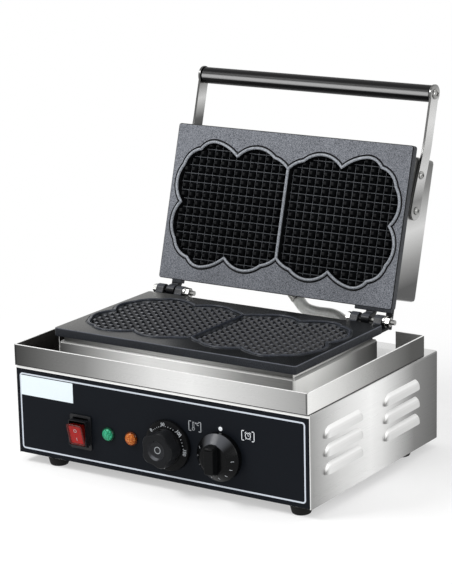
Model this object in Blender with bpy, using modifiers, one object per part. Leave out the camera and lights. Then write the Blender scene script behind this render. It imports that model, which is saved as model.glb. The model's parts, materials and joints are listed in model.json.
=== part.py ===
# Commercial waffle maker with two clover cavities, shown with its lid open.
# Metres, +Z up, +X to the user's right, +Y to the back. The origin lies on the
# table under the middle of the object's bounding box.

import math

import bmesh
import bpy
from mathutils import Matrix, Vector

# Clearances and cuts
SEAT_GAP = 0.0003
RUNNING_GAP = 0.0004
OVERRUN = 0.0020
MERGE = 0.00001

# Base housing
HOUSING_WIDTH = 0.4000
HOUSING_DEPTH = 0.2900
HOUSING_HEIGHT = 0.1070
HOUSING_WALL = 0.0015
HOUSING_LIP = 0.0036
HOUSING_EDGE = 0.0025
BASE_PLATE_THICKNESS = 0.0012
WIRE_HOLE_RADIUS = 0.0110
WIRE_HOLE_DEPTH = 0.1250
BASE_SLOT_LENGTH = 0.0600
BASE_SLOT_WIDTH = 0.0050
BASE_SLOT_PITCH = 0.0220
BASE_SLOTS = 7

# Pressed louvers in both sides
LOUVER_LENGTH = 0.0820
LOUVER_HEIGHT = 0.0125
LOUVER_REACH = 0.0046
LOUVER_SHEET = 0.0012
LOUVER_END = 0.0100
LOUVER_SHEAR = 0.0005
LOUVER_FIRST = 0.0695
LOUVER_SPACING = 0.1320
LOUVER_LOWEST = 0.0318
LOUVER_PITCH = 0.0207
LOUVER_COLUMNS = 2
LOUVER_ROWS = 3

# Feet
FOOT_HEIGHT = 0.0115
FOOT_TOP_RADIUS = 0.0130
FOOT_BOTTOM_RADIUS = 0.0108
FOOT_ROUND = 0.0015
FOOT_LEFT_INSET = 0.0470
FOOT_RIGHT_INSET = 0.0220
FOOT_FRONT = 0.0160
FOOT_BACK = 0.0500
FOOT_STUD_RADIUS = 0.0030
FOOT_STUD_LENGTH = 0.0080

# Control panel
PANEL_THICKNESS = 0.0015
PANEL_BOTTOM = 0.0008
LAMP_HEIGHT = 0.0428
SWITCH_HEIGHT = 0.0397
DIAL_HEIGHT = 0.0440
TIMER_HEIGHT = 0.0428

# Rocker switch
SWITCH_X = -0.1065
SWITCH_FLANGE_WIDTH = 0.0295
SWITCH_FLANGE_HEIGHT = 0.0408
SWITCH_FLANGE_THICKNESS = 0.0020
SWITCH_COLLAR_WIDTH = 0.0248
SWITCH_COLLAR_HEIGHT = 0.0308
SWITCH_COLLAR_REACH = 0.0090
SWITCH_COLLAR_WALL = 0.0010
SWITCH_BODY_WIDTH = 0.0235
SWITCH_BODY_HEIGHT = 0.0365
SWITCH_BODY_DEPTH = 0.0260
SWITCH_WELL_DEPTH = 0.0080
ROCKER_PIVOT = 0.0080
ROCKER_FACE = 0.0042
ROCKER_DISH = 0.0012
ROCKER_HALF_LENGTH = 0.0135
ROCKER_LIP = 0.0024
ROCKER_NECK = 0.0105
ROCKER_ROOT_HALF_LENGTH = 0.0085
ROCKER_ROOT = 0.0090
ROCKER_TILT = 15.0

# Indicator lamps
GREEN_LAMP_X = -0.0683
AMBER_LAMP_X = -0.0363
LAMP_RADIUS = 0.0076
LAMP_LENS_RADIUS = 0.0064
LAMP_RING = 0.0016
LAMP_REACH = 0.0046
LAMP_BODY_RADIUS = 0.0054
LAMP_BODY_LENGTH = 0.0140

# Temperature knob
DIAL_X = 0.0152
DIAL_RADIUS = 0.0295
DIAL_RIM = 0.0278
DIAL_THICKNESS = 0.0060
DIAL_HUB_RADIUS = 0.0192
DIAL_HUB = 0.0095
DIAL_CAP_RADIUS = 0.0204
DIAL_CAP_REACH = 0.0260
DIAL_CAP_TAPER_SHARE = 0.95
DIAL_LOBES = 5
DIAL_LOBE_SHARE = 0.055
DIAL_DISH_RADIUS = 0.0120
DIAL_DISH_DEPTH = 0.0018
DIAL_TURN = 270.0

# Timer knob
TIMER_X = 0.0850
TIMER_RADIUS = 0.0275
TIMER_RIM = 0.0265
TIMER_RIM_THICKNESS = 0.0035
TIMER_CONE_TOP = 0.0185
TIMER_CONE = 0.0120
TIMER_GRIP_WIDTH = 0.0112
TIMER_GRIP_LENGTH = 0.0380
TIMER_GRIP_TOP_SHARE = 0.84
TIMER_GRIP_REACH = 0.0264
TIMER_GRIP_ROUND = 0.0030
TIMER_TURN = 300.0

# Knob shafts and the controls behind the panel
KNOB_STANDOFF = 0.0010
SHAFT_RADIUS = 0.0030
SHAFT_REACH = 0.0105
BUSH_RADIUS = 0.0045
THERMOSTAT_SIZE = 0.0440
THERMOSTAT_DEPTH = 0.0280
TIMER_BODY_SIZE = 0.0500
TIMER_BODY_DEPTH = 0.0380
TERMINAL_LENGTH = 0.0600
TERMINAL_WIDTH = 0.0220
TERMINAL_HEIGHT = 0.0180
TERMINAL_FROM_BACK = 0.0700
TERMINAL_WAYS = 5
TERMINAL_SLOT = 0.0060
TERMINAL_SLOT_DEPTH = 0.0070

# Power cord gland in the back wall
GLAND_INSET = 0.0700
GLAND_Z = 0.0350
GLAND_RADIUS = 0.0095
GLAND_NECK = 0.0070
GLAND_BORE = 0.0042
GLAND_REACH = 0.0160
GLAND_INNER = 0.0080

# Splash tray
TRAY_SETBACK = 0.0017
TRAY_OVERHANG = 0.0020
TRAY_BACK = 0.2590
TRAY_HEIGHT = 0.0248
TRAY_SHEET = 0.0012
TRAY_RETURN = 0.0370
TRAY_SEAM = 0.0010

# Lower heater box and its neck
BOX_WIDTH = 0.3200
BOX_FRONT = 0.0335
BOX_BACK = 0.2180
BOX_TOP = 0.1325
BOX_SHEET = 0.0012
BOX_NECK_INSET = 0.0044
BOX_ROUND = 0.0020

# Cast cooking plates
PLATE_WIDTH = 0.3280
PLATE_DEPTH = 0.1920
PLATE_THICKNESS = 0.0100
PLATE_FRONT = 0.0300
PLATE_FACE = 0.1488
PLATE_CORNER = 0.0030
PLATE_CHAMFER = 0.0010
RIM_HEIGHT = 0.0017
RIM_WIDTH = 0.0028
RIM_SLOPE = 0.0006
CAVITY_DEPTH = 0.0060
CAVITY_WALL_RUN = 0.0040
CAVITY_HALF_WIDTH = 0.1564
CAVITY_HALF_DEPTH = 0.0767
CAVITY_FLOOR_UNDERCUT = 0.0004
PEG_PITCH = 0.0104
PEG_HEIGHT = 0.0055
PEG_TOP = 0.0022
PEG_COLUMNS = 31
PEG_ROWS = 15
PEG_BED_THICKNESS = 0.0030

# Clover outline of one quarter: corner points from the divider round to the
# outer notch, as shares of the cavity's half width and half depth, then each
# arc's height as a share of its chord, and the number of steps in each arc.
CLOVER_POINT_SHARES = (
    (0.000, 0.701), (0.131, 0.851), (0.467, 0.808), (0.668, 1.000),
    (0.808, 0.871), (0.948, 0.600), (0.934, 0.000))
CLOVER_BULGE_SHARES = (0.080, 0.207, 0.076, 0.144, 0.152, 0.185)
CLOVER_STEPS = (1, 5, 3, 3, 3, 4)

# Hinges: each unit's first knuckle starts at its left face, and the gap before
# its last knuckle is wider on the right, where the lid's stop is
HINGE_LEFT_START = -0.1592
HINGE_RIGHT_START = 0.1154
HINGE_LEFT_GAP = 0.0015
HINGE_RIGHT_GAP = 0.0060
HINGE_BEHIND_PLATE = 0.0139
HINGE_RISE = 0.0004
KNUCKLE_RADIUS = 0.0060
KNUCKLE_LENGTH = 0.0116
KNUCKLE_FIRST_GAP = 0.0030
KNUCKLE_ROOT = 0.0030
TAB_DROP = 0.0040
TAB_LEFT = (-0.1440, -0.1300)
TAB_RIGHT = (0.1147, 0.1632)
PIN_RADIUS = 0.0032
PIN_HEAD_RADIUS = 0.0060
PIN_HEAD_LENGTH = 0.0048
PIN_TAIL = 0.0056
NUT_FLANGE_RADIUS = 0.0066
NUT_FLANGE = 0.0022
NUT_RADIUS = 0.0060
NUT_LENGTH = 0.0078
STOP_INSET = 0.0088
STOP_WIDTH = 0.0084
STOP_OFFSET = 0.0071
STOP_REACH = 0.0091
STOP_LEDGE_TOP = 0.0069
STOP_LEDGE_THICKNESS = 0.0033
LID_OPENING = 106.4

# Lid cover
COVER_WIDTH = 0.3200
COVER_BACK_INSET = 0.0120
COVER_FRONT_INSET = 0.0110
COVER_DEPTH = 0.0560
COVER_SHEET = 0.0012
COVER_ROUND = 0.0040

# Handle arms and grip
ARM_THICKNESS = 0.0030
ARM_FOOT_ALONG = 0.1180
ARM_FOOT_RISE = 0.0285
ARM_FOOT_RADIUS = 0.0110
ARM_NECK_ALONG = 0.2050
ARM_NECK_RISE = 0.0370
ARM_NECK_HALF_WIDTH = 0.0104
ARM_DISC_RADIUS = 0.0113
GRIP_ALONG = 0.2570
GRIP_RISE = 0.0370
GRIP_RADIUS = 0.0101
GRIP_ROUND = 0.0012
ARM_SCREW_LOW = 0.1184
ARM_SCREW_HIGH = 0.1604
ARM_SCREW_RISE = 0.0293
SCREW_HEAD_RADIUS = 0.0048
SCREW_HEAD_HEIGHT = 0.0026
SCREW_SHANK_RADIUS = 0.0020
SCREW_SHANK_LENGTH = 0.0068
END_SCREW_RADIUS = 0.0062
END_SCREW_HEIGHT = 0.0030
END_SCREW_SHANK = 0.0026
END_SCREW_LENGTH = 0.0140

# Heaters and insulation
ELEMENT_RADIUS = 0.0042
ELEMENT_HALF_WIDTH = 0.1050
ELEMENT_HALF_DEPTH = 0.0620
ELEMENT_LANE = 0.0200
WOOL_MARGIN = 0.0030
WOOL_THICKNESS_LOWER = 0.0180
WOOL_THICKNESS_UPPER = 0.0450
BULB_RADIUS = 0.0032
BULB_LENGTH = 0.0900

# Flexible conduit between the heater box and the lid
CONDUIT_RADIUS = 0.0076
CONDUIT_GROOVE = 0.0069
CONDUIT_BORE = 0.0052
CONDUIT_RIBS = 52
FITTING_RADIUS = 0.0099
FITTING_COLLAR = 0.0083
FITTING_LENGTH = 0.0100
BOX_FITTING_X = 0.0960
BOX_FITTING_Z = 0.1210
LID_FITTING_X = 0.0050
LID_FITTING_RISE = 0.0440
ELBOW_DROP = 0.0093
ELBOW_REACH = 0.0075

# Conduit's middle points, placed by hand from the box's fitting, then one from the
# lid's fitting
CONDUIT_POINTS = (
    (-0.006, 0.0414, 0.0010), (-0.022, 0.0574, 0.0050), (-0.039, 0.0624, 0.0095))
CONDUIT_LAST_POINT = (0.014, 0.003, -0.0042)

ROUND_STEPS = 20
SMALL_STEPS = 8
CORNER_STEPS = 3

# Places that follow from the sizes above, heights from the table
FLOOR_TO_HOUSING = FOOT_HEIGHT
DECK_TOP = FLOOR_TO_HOUSING + HOUSING_HEIGHT
GLAND_X = GLAND_INSET - HOUSING_WIDTH / 2
PLATE_TOP = FLOOR_TO_HOUSING + PLATE_FACE
HINGE_FROM_PANEL = PLATE_FRONT + PLATE_DEPTH + HINGE_BEHIND_PLATE
HINGE_Z = PLATE_TOP + HINGE_RISE
CLOSED_FACE_GAP = 2 * RIM_HEIGHT + SEAT_GAP
LID_FACE = CLOSED_FACE_GAP - HINGE_RISE
LID_LEAN = math.radians(LID_OPENING) - math.pi / 2
REAR_REACH = (HINGE_FROM_PANEL
              + (GRIP_ALONG + HINGE_BEHIND_PLATE) * math.sin(LID_LEAN)
              + (GRIP_RISE + LID_FACE) * math.cos(LID_LEAN) + ARM_DISC_RADIUS)
FRONT_REACH = max(TIMER_GRIP_REACH, DIAL_CAP_REACH)
PANEL_Y = -(REAR_REACH - FRONT_REACH) / 2
HINGE_Y = PANEL_Y + HINGE_FROM_PANEL
LAMP_Z = FLOOR_TO_HOUSING + LAMP_HEIGHT
SWITCH_Z = FLOOR_TO_HOUSING + SWITCH_HEIGHT
DIAL_Z = FLOOR_TO_HOUSING + DIAL_HEIGHT
TIMER_Z = FLOOR_TO_HOUSING + TIMER_HEIGHT
TRAY_FLOOR_TOP = DECK_TOP + SEAT_GAP + TRAY_SHEET
PLATE_BOTTOM = PLATE_TOP - PLATE_THICKNESS
HINGE_UNITS = (("left", HINGE_LEFT_START, HINGE_LEFT_GAP),
               ("right", HINGE_RIGHT_START, HINGE_RIGHT_GAP))
LID_KNUCKLE_START = KNUCKLE_LENGTH + KNUCKLE_FIRST_GAP
LAST_KNUCKLE_START = LID_KNUCKLE_START + KNUCKLE_LENGTH
HINGE_LENGTH = LAST_KNUCKLE_START + KNUCKLE_LENGTH
STOP_START = PLATE_WIDTH / 2 - STOP_INSET


# Scene and materials

def clear_scene():
    for item in list(bpy.data.objects):
        bpy.data.objects.remove(item, do_unlink=True)


def new_collection(name):
    group = bpy.data.collections.new(name)
    bpy.context.scene.collection.children.link(group)
    return group


def linear(channel):
    if channel <= 0.04045:
        return channel / 12.92
    return ((channel + 0.055) / 1.055) ** 2.4


def make_material(name, hex_colour, roughness, metallic):
    material = bpy.data.materials.new(name)
    material.use_nodes = True
    shader = material.node_tree.nodes["Principled BSDF"]
    rgb = [linear(int(hex_colour[i:i + 2], 16) / 255) for i in (0, 2, 4)]
    shader.inputs["Base Color"].default_value = (*rgb, 1.0)
    shader.inputs["Roughness"].default_value = roughness
    shader.inputs["Metallic"].default_value = metallic
    material.diffuse_color = (*rgb, 1.0)
    return material


clear_scene()
PARTS = new_collection("waffle_maker")
CUTTERS = new_collection("cutters")
STEEL = make_material("brushed_steel", "C9C9C8", 0.30, 1.0)
BRIGHT = make_material("bright_steel", "D8D8D6", 0.20, 1.0)
CAST = make_material("coated_cast_iron", "3B3E43", 0.55, 0.3)
CAST_GREY = make_material("coated_cast_grey", "7B8088", 0.60, 0.3)
BLACK = make_material("black_plastic", "141517", 0.35, 0.0)
PANEL_BLACK = make_material("panel_black", "1E2228", 0.40, 0.0)
RUBBER = make_material("rubber", "121212", 0.80, 0.0)
RED = make_material("red_rocker", "C4251C", 0.25, 0.0)
GREEN = make_material("green_lens", "2E8B66", 0.15, 0.0)
AMBER = make_material("amber_lens", "C8742A", 0.15, 0.0)
CERAMIC = make_material("ceramic", "D9D3C4", 0.70, 0.0)
WOOL = make_material("mineral_wool", "B9A884", 0.95, 0.0)


# Mesh helpers

def add_object(name, mesh, material, collection=None):
    item = bpy.data.objects.new(name, mesh)
    (collection or PARTS).objects.link(item)
    if material:
        mesh.materials.clear()
        mesh.materials.append(material)
    return item


def mesh_from(bm, name):
    mesh = bpy.data.meshes.new(name)
    bmesh.ops.recalc_face_normals(bm, faces=bm.faces)
    bm.to_mesh(mesh)
    bm.free()
    return mesh


def box_mesh(low, high):
    bm = bmesh.new()
    low, high = Vector(low), Vector(high)
    place = Matrix.Translation((low + high) / 2) @ Matrix.Diagonal((*(high - low), 1))
    bmesh.ops.create_cube(bm, size=1, matrix=place)
    return mesh_from(bm, "box")


def hood_mesh(low, high, radius, steps):
    """A box whose upright and upper edges are rounded and whose foot is flat."""
    bm = bmesh.new()
    bm.from_mesh(box_mesh(low, high))
    edges = [e for e in bm.edges if max(v.co.z for v in e.verts) > low[2] + MERGE]
    bmesh.ops.bevel(bm, geom=edges, offset=radius, offset_type="OFFSET", segments=steps,
                    profile=0.5, affect="EDGES")
    return mesh_from(bm, "hood")


def rod_mesh(radius, low, high, steps=ROUND_STEPS, top_radius=None):
    bm = bmesh.new()
    bmesh.ops.create_cone(
        bm, cap_ends=True, segments=steps, radius1=radius,
        radius2=radius if top_radius is None else top_radius, depth=high - low,
        matrix=Matrix.Translation((0, 0, (low + high) / 2)))
    return mesh_from(bm, "rod")


def merged_mesh(meshes):
    bm = bmesh.new()
    for mesh in meshes:
        bm.from_mesh(mesh)
    return mesh_from(bm, "merged")


def moved(mesh, matrix):
    mesh.transform(matrix)
    if matrix.determinant() < 0:
        mesh.flip_normals()
    return mesh


def along_x():
    """Turns +Z to +X, with a flat outline's X and Y going to world Y and Z."""
    return Matrix(((0, 0, 1, 0), (1, 0, 0, 0), (0, 1, 0, 0), (0, 0, 0, 1)))


def along_front():
    """Turns +Z to -Y, towards the user, and +Y to +Z."""
    return Matrix.Rotation(math.pi / 2, 4, "X")


def curve_to_mesh(curve):
    holder = bpy.data.objects.new("curve", curve)
    PARTS.objects.link(holder)
    graph = bpy.context.evaluated_depsgraph_get()
    mesh = bpy.data.meshes.new_from_object(holder.evaluated_get(graph))
    bpy.data.objects.remove(holder, do_unlink=True)
    bm = bmesh.new()
    bm.from_mesh(mesh)
    bmesh.ops.remove_doubles(bm, verts=bm.verts, dist=MERGE)
    bmesh.ops.recalc_face_normals(bm, faces=bm.faces)
    bm.to_mesh(mesh)
    bm.free()
    return mesh


def outline_mesh(outlines, low, high):
    """A flat outline, with any holes after it, made solid from low to high."""
    curve = bpy.data.curves.new("outline", "CURVE")
    curve.dimensions = "2D"
    curve.fill_mode = "BOTH"
    curve.extrude = (high - low) / 2
    for outline in outlines:
        spline = curve.splines.new("POLY")
        spline.points.add(len(outline) - 1)
        for point, (x, y) in zip(spline.points, outline):
            point.co = (x, y, 0, 1)
        spline.use_cyclic_u = True
    return moved(curve_to_mesh(curve), Matrix.Translation((0, 0, (low + high) / 2)))


def circle(radius, steps=ROUND_STEPS, centre=(0, 0)):
    turn = 2 * math.pi / steps
    return [(centre[0] + radius * math.cos(turn * i), centre[1] + radius * math.sin(turn * i))
            for i in range(steps)]


def arc(centre, radius, start, end, steps):
    """Points of an arc, angles in degrees."""
    angles = [math.radians(start + (end - start) * i / steps) for i in range(steps + 1)]
    return [(centre[0] + radius * math.cos(a), centre[1] + radius * math.sin(a)) for a in angles]


def rounded_rectangle(low, high, radius, steps=CORNER_STEPS):
    (x0, y0), (x1, y1) = low, high
    return (arc((x1 - radius, y1 - radius), radius, 0, 90, steps)
            + arc((x0 + radius, y1 - radius), radius, 90, 180, steps)
            + arc((x0 + radius, y0 + radius), radius, 180, 270, steps)
            + arc((x1 - radius, y0 + radius), radius, 270, 360, steps))


def centred_rectangle(width, height, radius):
    return rounded_rectangle((-width / 2, -height / 2), (width / 2, height / 2), radius)


def turned_mesh(profile, steps=ROUND_STEPS):
    """A solid of revolution about Z from a profile that runs down its outer side."""
    mesh = bpy.data.meshes.new("profile")
    mesh.from_pydata([(x, 0, z) for x, z in profile],
                     [(i, i + 1) for i in range(len(profile) - 1)], [])
    holder = bpy.data.objects.new("profile", mesh)
    PARTS.objects.link(holder)
    screw = holder.modifiers.new("turn", "SCREW")
    screw.axis = "Z"
    screw.steps = screw.render_steps = steps
    screw.use_merge_vertices = True
    screw.merge_threshold = MERGE
    graph = bpy.context.evaluated_depsgraph_get()
    turned = bpy.data.meshes.new_from_object(holder.evaluated_get(graph))
    bpy.data.objects.remove(holder, do_unlink=True)
    bm = bmesh.new()
    bm.from_mesh(turned)
    bmesh.ops.remove_doubles(bm, verts=bm.verts, dist=MERGE)
    bmesh.ops.recalc_face_normals(bm, faces=bm.faces)
    bm.to_mesh(turned)
    bm.free()
    return turned


def tube_mesh(points, radius, resolution=2, radii=None):
    """A tube with filled ends along points, which may swell from point to point."""
    curve = bpy.data.curves.new("tube", "CURVE")
    curve.dimensions = "3D"
    curve.bevel_depth = radius
    curve.bevel_resolution = resolution
    curve.use_fill_caps = True
    spline = curve.splines.new("POLY")
    spline.points.add(len(points) - 1)
    for index, (point, place) in enumerate(zip(spline.points, points)):
        point.co = (*place, 1)
        point.radius = radii[index] / radius if radii else 1
    return curve_to_mesh(curve)


def combine(item, mesh, operation):
    """Adds a Boolean of item with mesh, whose object is kept as a hidden guide."""
    guide = add_object(item.name + "_" + operation.lower(), mesh, None, CUTTERS)
    guide.parent = item.parent
    guide.matrix_world = item.matrix_world
    guide.hide_render = True
    guide.display_type = "WIRE"
    modifier = item.modifiers.new(operation.title(), "BOOLEAN")
    modifier.operation = operation
    modifier.solver = "EXACT"
    modifier.object = guide


def cut(item, mesh):
    combine(item, mesh, "DIFFERENCE")


def join(item, mesh):
    combine(item, mesh, "UNION")


def round_edges(item, width, steps=1, angle=30.0):
    modifier = item.modifiers.new("Edges", "BEVEL")
    modifier.width = width
    modifier.segments = steps
    modifier.limit_method = "ANGLE"
    modifier.angle_limit = math.radians(angle)


def shade_round(item, angle=35.0):
    item.data.shade_smooth()
    item.data.set_sharp_from_angle(angle=math.radians(angle))


def place_part(item, location, turn=0.0, parent=None):
    """Places a part by its location and its turn about X, under a parent or not."""
    item.parent = parent
    item.location = location
    item.rotation_euler = (turn, 0, 0)
    bpy.context.view_layer.update()
    return item


def pivot(name, location, turn):
    item = bpy.data.objects.new(name, None)
    PARTS.objects.link(item)
    return place_part(item, location, turn)


# Base housing, panel and feet

def louver_mesh(shrink, drop, back):
    """One pressed hood on the plane x = 0, open below, thinner by shrink."""
    half = LOUVER_LENGTH / 2 - shrink
    reach = LOUVER_REACH - shrink
    top = LOUVER_HEIGHT - shrink
    flat = half - LOUVER_END
    shoulder_share = 0.62
    bm = bmesh.new()
    for side in (-1, 1):
        for x, y, z in ((-back, half, -drop), (-back, flat, top), (0, half, -drop),
                        (0, flat, top), (reach, flat, -drop),
                        (reach * shoulder_share, flat, top * shoulder_share)):
            bm.verts.new((x, side * y, z))
    bmesh.ops.convex_hull(bm, input=bm.verts)
    loose = [v for v in bm.verts if not v.link_faces]
    bmesh.ops.delete(bm, geom=loose, context="VERTS")
    return mesh_from(bm, "louver")


def louver_set(shrink, drop, back):
    """Every hood on both sides, or what is cut out behind them."""
    meshes = []
    for side in (-1, 1):
        flip = Matrix.Diagonal((side, 1, 1, 1))
        for column in range(LOUVER_COLUMNS):
            for row in range(LOUVER_ROWS):
                place = (side * HOUSING_WIDTH / 2,
                         PANEL_Y + LOUVER_FIRST + column * LOUVER_SPACING,
                         FLOOR_TO_HOUSING + LOUVER_LOWEST + row * LOUVER_PITCH)
                meshes.append(moved(louver_mesh(shrink, drop, back),
                                    Matrix.Translation(place) @ flip))
    return merged_mesh(meshes)


def make_housing():
    half = HOUSING_WIDTH / 2
    back = PANEL_Y + HOUSING_DEPTH
    shell = add_object("housing_shell", hood_mesh(
        (-half, PANEL_Y, FLOOR_TO_HOUSING), (half, back, DECK_TOP), HOUSING_EDGE, 2), STEEL)
    inside = box_mesh(
        (-half + HOUSING_WALL, PANEL_Y + HOUSING_WALL, FLOOR_TO_HOUSING - OVERRUN * 2),
        (half - HOUSING_WALL, back - HOUSING_WALL, DECK_TOP - HOUSING_WALL))
    front = box_mesh(
        (-half + HOUSING_WALL, PANEL_Y - OVERRUN, FLOOR_TO_HOUSING - OVERRUN * 2),
        (half - HOUSING_WALL, PANEL_Y + HOUSING_WALL + OVERRUN, DECK_TOP - HOUSING_LIP))
    cut(shell, inside)
    cut(shell, front)
    join(shell, louver_set(0, 0, HOUSING_WALL / 2))
    cut(shell, louver_set(LOUVER_SHEET, LOUVER_SHEAR, HOUSING_WALL + OVERRUN))
    hole = rod_mesh(WIRE_HOLE_RADIUS, DECK_TOP - HOUSING_WALL - OVERRUN, DECK_TOP + OVERRUN)
    gland = rod_mesh(GLAND_NECK + SEAT_GAP, -OVERRUN - HOUSING_WALL, OVERRUN)
    back_hole = Matrix.Translation((GLAND_X, back, FLOOR_TO_HOUSING + GLAND_Z))
    cut(shell, merged_mesh([
        moved(hole, Matrix.Translation((0, PANEL_Y + WIRE_HOLE_DEPTH, 0))),
        moved(gland, back_hole @ Matrix.Rotation(-math.pi / 2, 4, "X"))]))


def make_base_plate():
    half = HOUSING_WIDTH / 2 - HOUSING_WALL - SEAT_GAP
    front = PANEL_Y + PANEL_THICKNESS + SEAT_GAP
    back = PANEL_Y + HOUSING_DEPTH - HOUSING_WALL - SEAT_GAP
    plate = add_object("base_plate", box_mesh(
        (-half, front, FLOOR_TO_HOUSING),
        (half, back, FLOOR_TO_HOUSING + BASE_PLATE_THICKNESS)), STEEL)
    slots = []
    for index in range(BASE_SLOTS):
        x = (index - (BASE_SLOTS - 1) / 2) * BASE_SLOT_PITCH
        y = (front + back) / 2
        slots.append(box_mesh(
            (x - BASE_SLOT_WIDTH / 2, y - BASE_SLOT_LENGTH / 2, FLOOR_TO_HOUSING - OVERRUN),
            (x + BASE_SLOT_WIDTH / 2, y + BASE_SLOT_LENGTH / 2,
             FLOOR_TO_HOUSING + BASE_PLATE_THICKNESS + OVERRUN)))
    for x, y in foot_places():
        stud = rod_mesh(FOOT_STUD_RADIUS + SEAT_GAP, -OVERRUN,
                        BASE_PLATE_THICKNESS + OVERRUN, SMALL_STEPS)
        slots.append(moved(stud, Matrix.Translation((x, y, FLOOR_TO_HOUSING))))
    cut(plate, merged_mesh(slots))


def foot_places():
    left = FOOT_LEFT_INSET - HOUSING_WIDTH / 2
    right = HOUSING_WIDTH / 2 - FOOT_RIGHT_INSET
    front = PANEL_Y + FOOT_FRONT
    back = PANEL_Y + HOUSING_DEPTH - FOOT_BACK
    return ((left, front), (right, front), (left, back), (right, back))


def make_feet():
    top = FOOT_HEIGHT - SEAT_GAP
    profile = ((0, top + FOOT_STUD_LENGTH), (FOOT_STUD_RADIUS, top + FOOT_STUD_LENGTH),
               (FOOT_STUD_RADIUS, top), (FOOT_TOP_RADIUS, top),
               (FOOT_BOTTOM_RADIUS, FOOT_ROUND), (FOOT_BOTTOM_RADIUS - FOOT_ROUND, 0), (0, 0))
    names = ("foot_front_left", "foot_front_right", "foot_back_left", "foot_back_right")
    for name, (x, y) in zip(names, foot_places()):
        foot = add_object(name, turned_mesh(profile, SMALL_STEPS + 4), RUBBER)
        shade_round(foot)
        place_part(foot, (x, y, 0))


def make_panel():
    half = HOUSING_WIDTH / 2 - HOUSING_WALL - SEAT_GAP
    low = FLOOR_TO_HOUSING + PANEL_BOTTOM
    high = DECK_TOP - HOUSING_LIP - SEAT_GAP
    panel = add_object("control_panel", box_mesh(
        (-half, PANEL_Y, low), (half, PANEL_Y + PANEL_THICKNESS, high)), PANEL_BLACK)
    holes = []
    for x, z, radius in ((GREEN_LAMP_X, LAMP_Z, LAMP_BODY_RADIUS),
                         (AMBER_LAMP_X, LAMP_Z, LAMP_BODY_RADIUS),
                         (DIAL_X, DIAL_Z, BUSH_RADIUS), (TIMER_X, TIMER_Z, BUSH_RADIUS)):
        hole = rod_mesh(radius + SEAT_GAP, -PANEL_THICKNESS - OVERRUN, OVERRUN,
                        SMALL_STEPS + 4)
        holes.append(moved(hole, Matrix.Translation((x, PANEL_Y, z)) @ along_front()))
    window_width = SWITCH_BODY_WIDTH / 2 + SEAT_GAP
    window_height = SWITCH_BODY_HEIGHT / 2 + SEAT_GAP
    holes.append(box_mesh(
        (SWITCH_X - window_width, PANEL_Y - OVERRUN, SWITCH_Z - window_height),
        (SWITCH_X + window_width, PANEL_Y + PANEL_THICKNESS + OVERRUN,
         SWITCH_Z + window_height)))
    cut(panel, merged_mesh(holes))


# Controls

def make_switch():
    flange = outline_mesh([centred_rectangle(
        SWITCH_FLANGE_WIDTH, SWITCH_FLANGE_HEIGHT, SWITCH_FLANGE_THICKNESS)],
        SEAT_GAP, SWITCH_FLANGE_THICKNESS)
    bezel = add_object("switch_bezel", flange, BLACK)
    place_part(bezel, (SWITCH_X, PANEL_Y, SWITCH_Z), math.pi / 2)
    join(bezel, outline_mesh([centred_rectangle(
        SWITCH_COLLAR_WIDTH, SWITCH_COLLAR_HEIGHT, SWITCH_FLANGE_THICKNESS)],
        SWITCH_FLANGE_THICKNESS / 2, SWITCH_COLLAR_REACH))
    join(bezel, box_mesh(
        (-SWITCH_BODY_WIDTH / 2, -SWITCH_BODY_HEIGHT / 2, -SWITCH_BODY_DEPTH),
        (SWITCH_BODY_WIDTH / 2, SWITCH_BODY_HEIGHT / 2, SWITCH_FLANGE_THICKNESS)))
    well_width = SWITCH_COLLAR_WIDTH / 2 - SWITCH_COLLAR_WALL
    well_height = SWITCH_COLLAR_HEIGHT / 2 - SWITCH_COLLAR_WALL
    deep_width = SWITCH_BODY_WIDTH / 2 - SWITCH_COLLAR_WALL
    deep_height = SWITCH_BODY_HEIGHT / 2 - SWITCH_COLLAR_WALL
    cut(bezel, box_mesh((-well_width, -well_height, SWITCH_FLANGE_THICKNESS),
                        (well_width, well_height, SWITCH_COLLAR_REACH + OVERRUN)))
    cut(bezel, box_mesh((-deep_width, -deep_height, -SWITCH_WELL_DEPTH),
                        (deep_width, deep_height, SWITCH_FLANGE_THICKNESS + OVERRUN / 2)))


def rocker_outline():
    """Side view of the rocker about its pivot, first value up, second outwards."""
    half = ROCKER_HALF_LENGTH
    lip = ROCKER_FACE - ROCKER_LIP
    dish = [(half * (1 - i / 4), ROCKER_FACE - ROCKER_DISH * (1 - (1 - i / 4) ** 2))
            for i in range(5)]
    upper = [(ROCKER_ROOT_HALF_LENGTH, -ROCKER_ROOT), (ROCKER_NECK, lip - ROCKER_LIP / 2),
             (half, lip)] + dish
    lower = [(-y, z) for y, z in reversed(upper[:-1])]
    return upper + lower


def make_rocker():
    half = SWITCH_BODY_WIDTH / 2 - SWITCH_COLLAR_WALL - RUNNING_GAP
    solid = outline_mesh([rocker_outline()], -half, half)
    rocker = add_object("rocker", moved(solid, along_x()), RED)
    # The outline's up is local Z here and its outwards is -Y, so it is turned once more.
    rocker.data.transform(Matrix.Rotation(math.pi / 2, 4, "X"))
    pivot_y = PANEL_Y - ROCKER_PIVOT
    place_part(rocker, (SWITCH_X, pivot_y, SWITCH_Z), math.radians(ROCKER_TILT))


def make_lamp(name, x, material):
    profile = ((0, LAMP_REACH), (LAMP_LENS_RADIUS * 0.6, LAMP_REACH * 0.94),
               (LAMP_LENS_RADIUS, LAMP_REACH * 0.70), (LAMP_LENS_RADIUS, LAMP_RING),
               (LAMP_RADIUS - SEAT_GAP, LAMP_RING), (LAMP_RADIUS, SEAT_GAP),
               (LAMP_BODY_RADIUS, SEAT_GAP), (LAMP_BODY_RADIUS, -LAMP_BODY_LENGTH),
               (0, -LAMP_BODY_LENGTH))
    lamp = add_object(name, turned_mesh(profile, SMALL_STEPS + 4), material)
    shade_round(lamp)
    place_part(lamp, (x, PANEL_Y, LAMP_Z), math.pi / 2)


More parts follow.
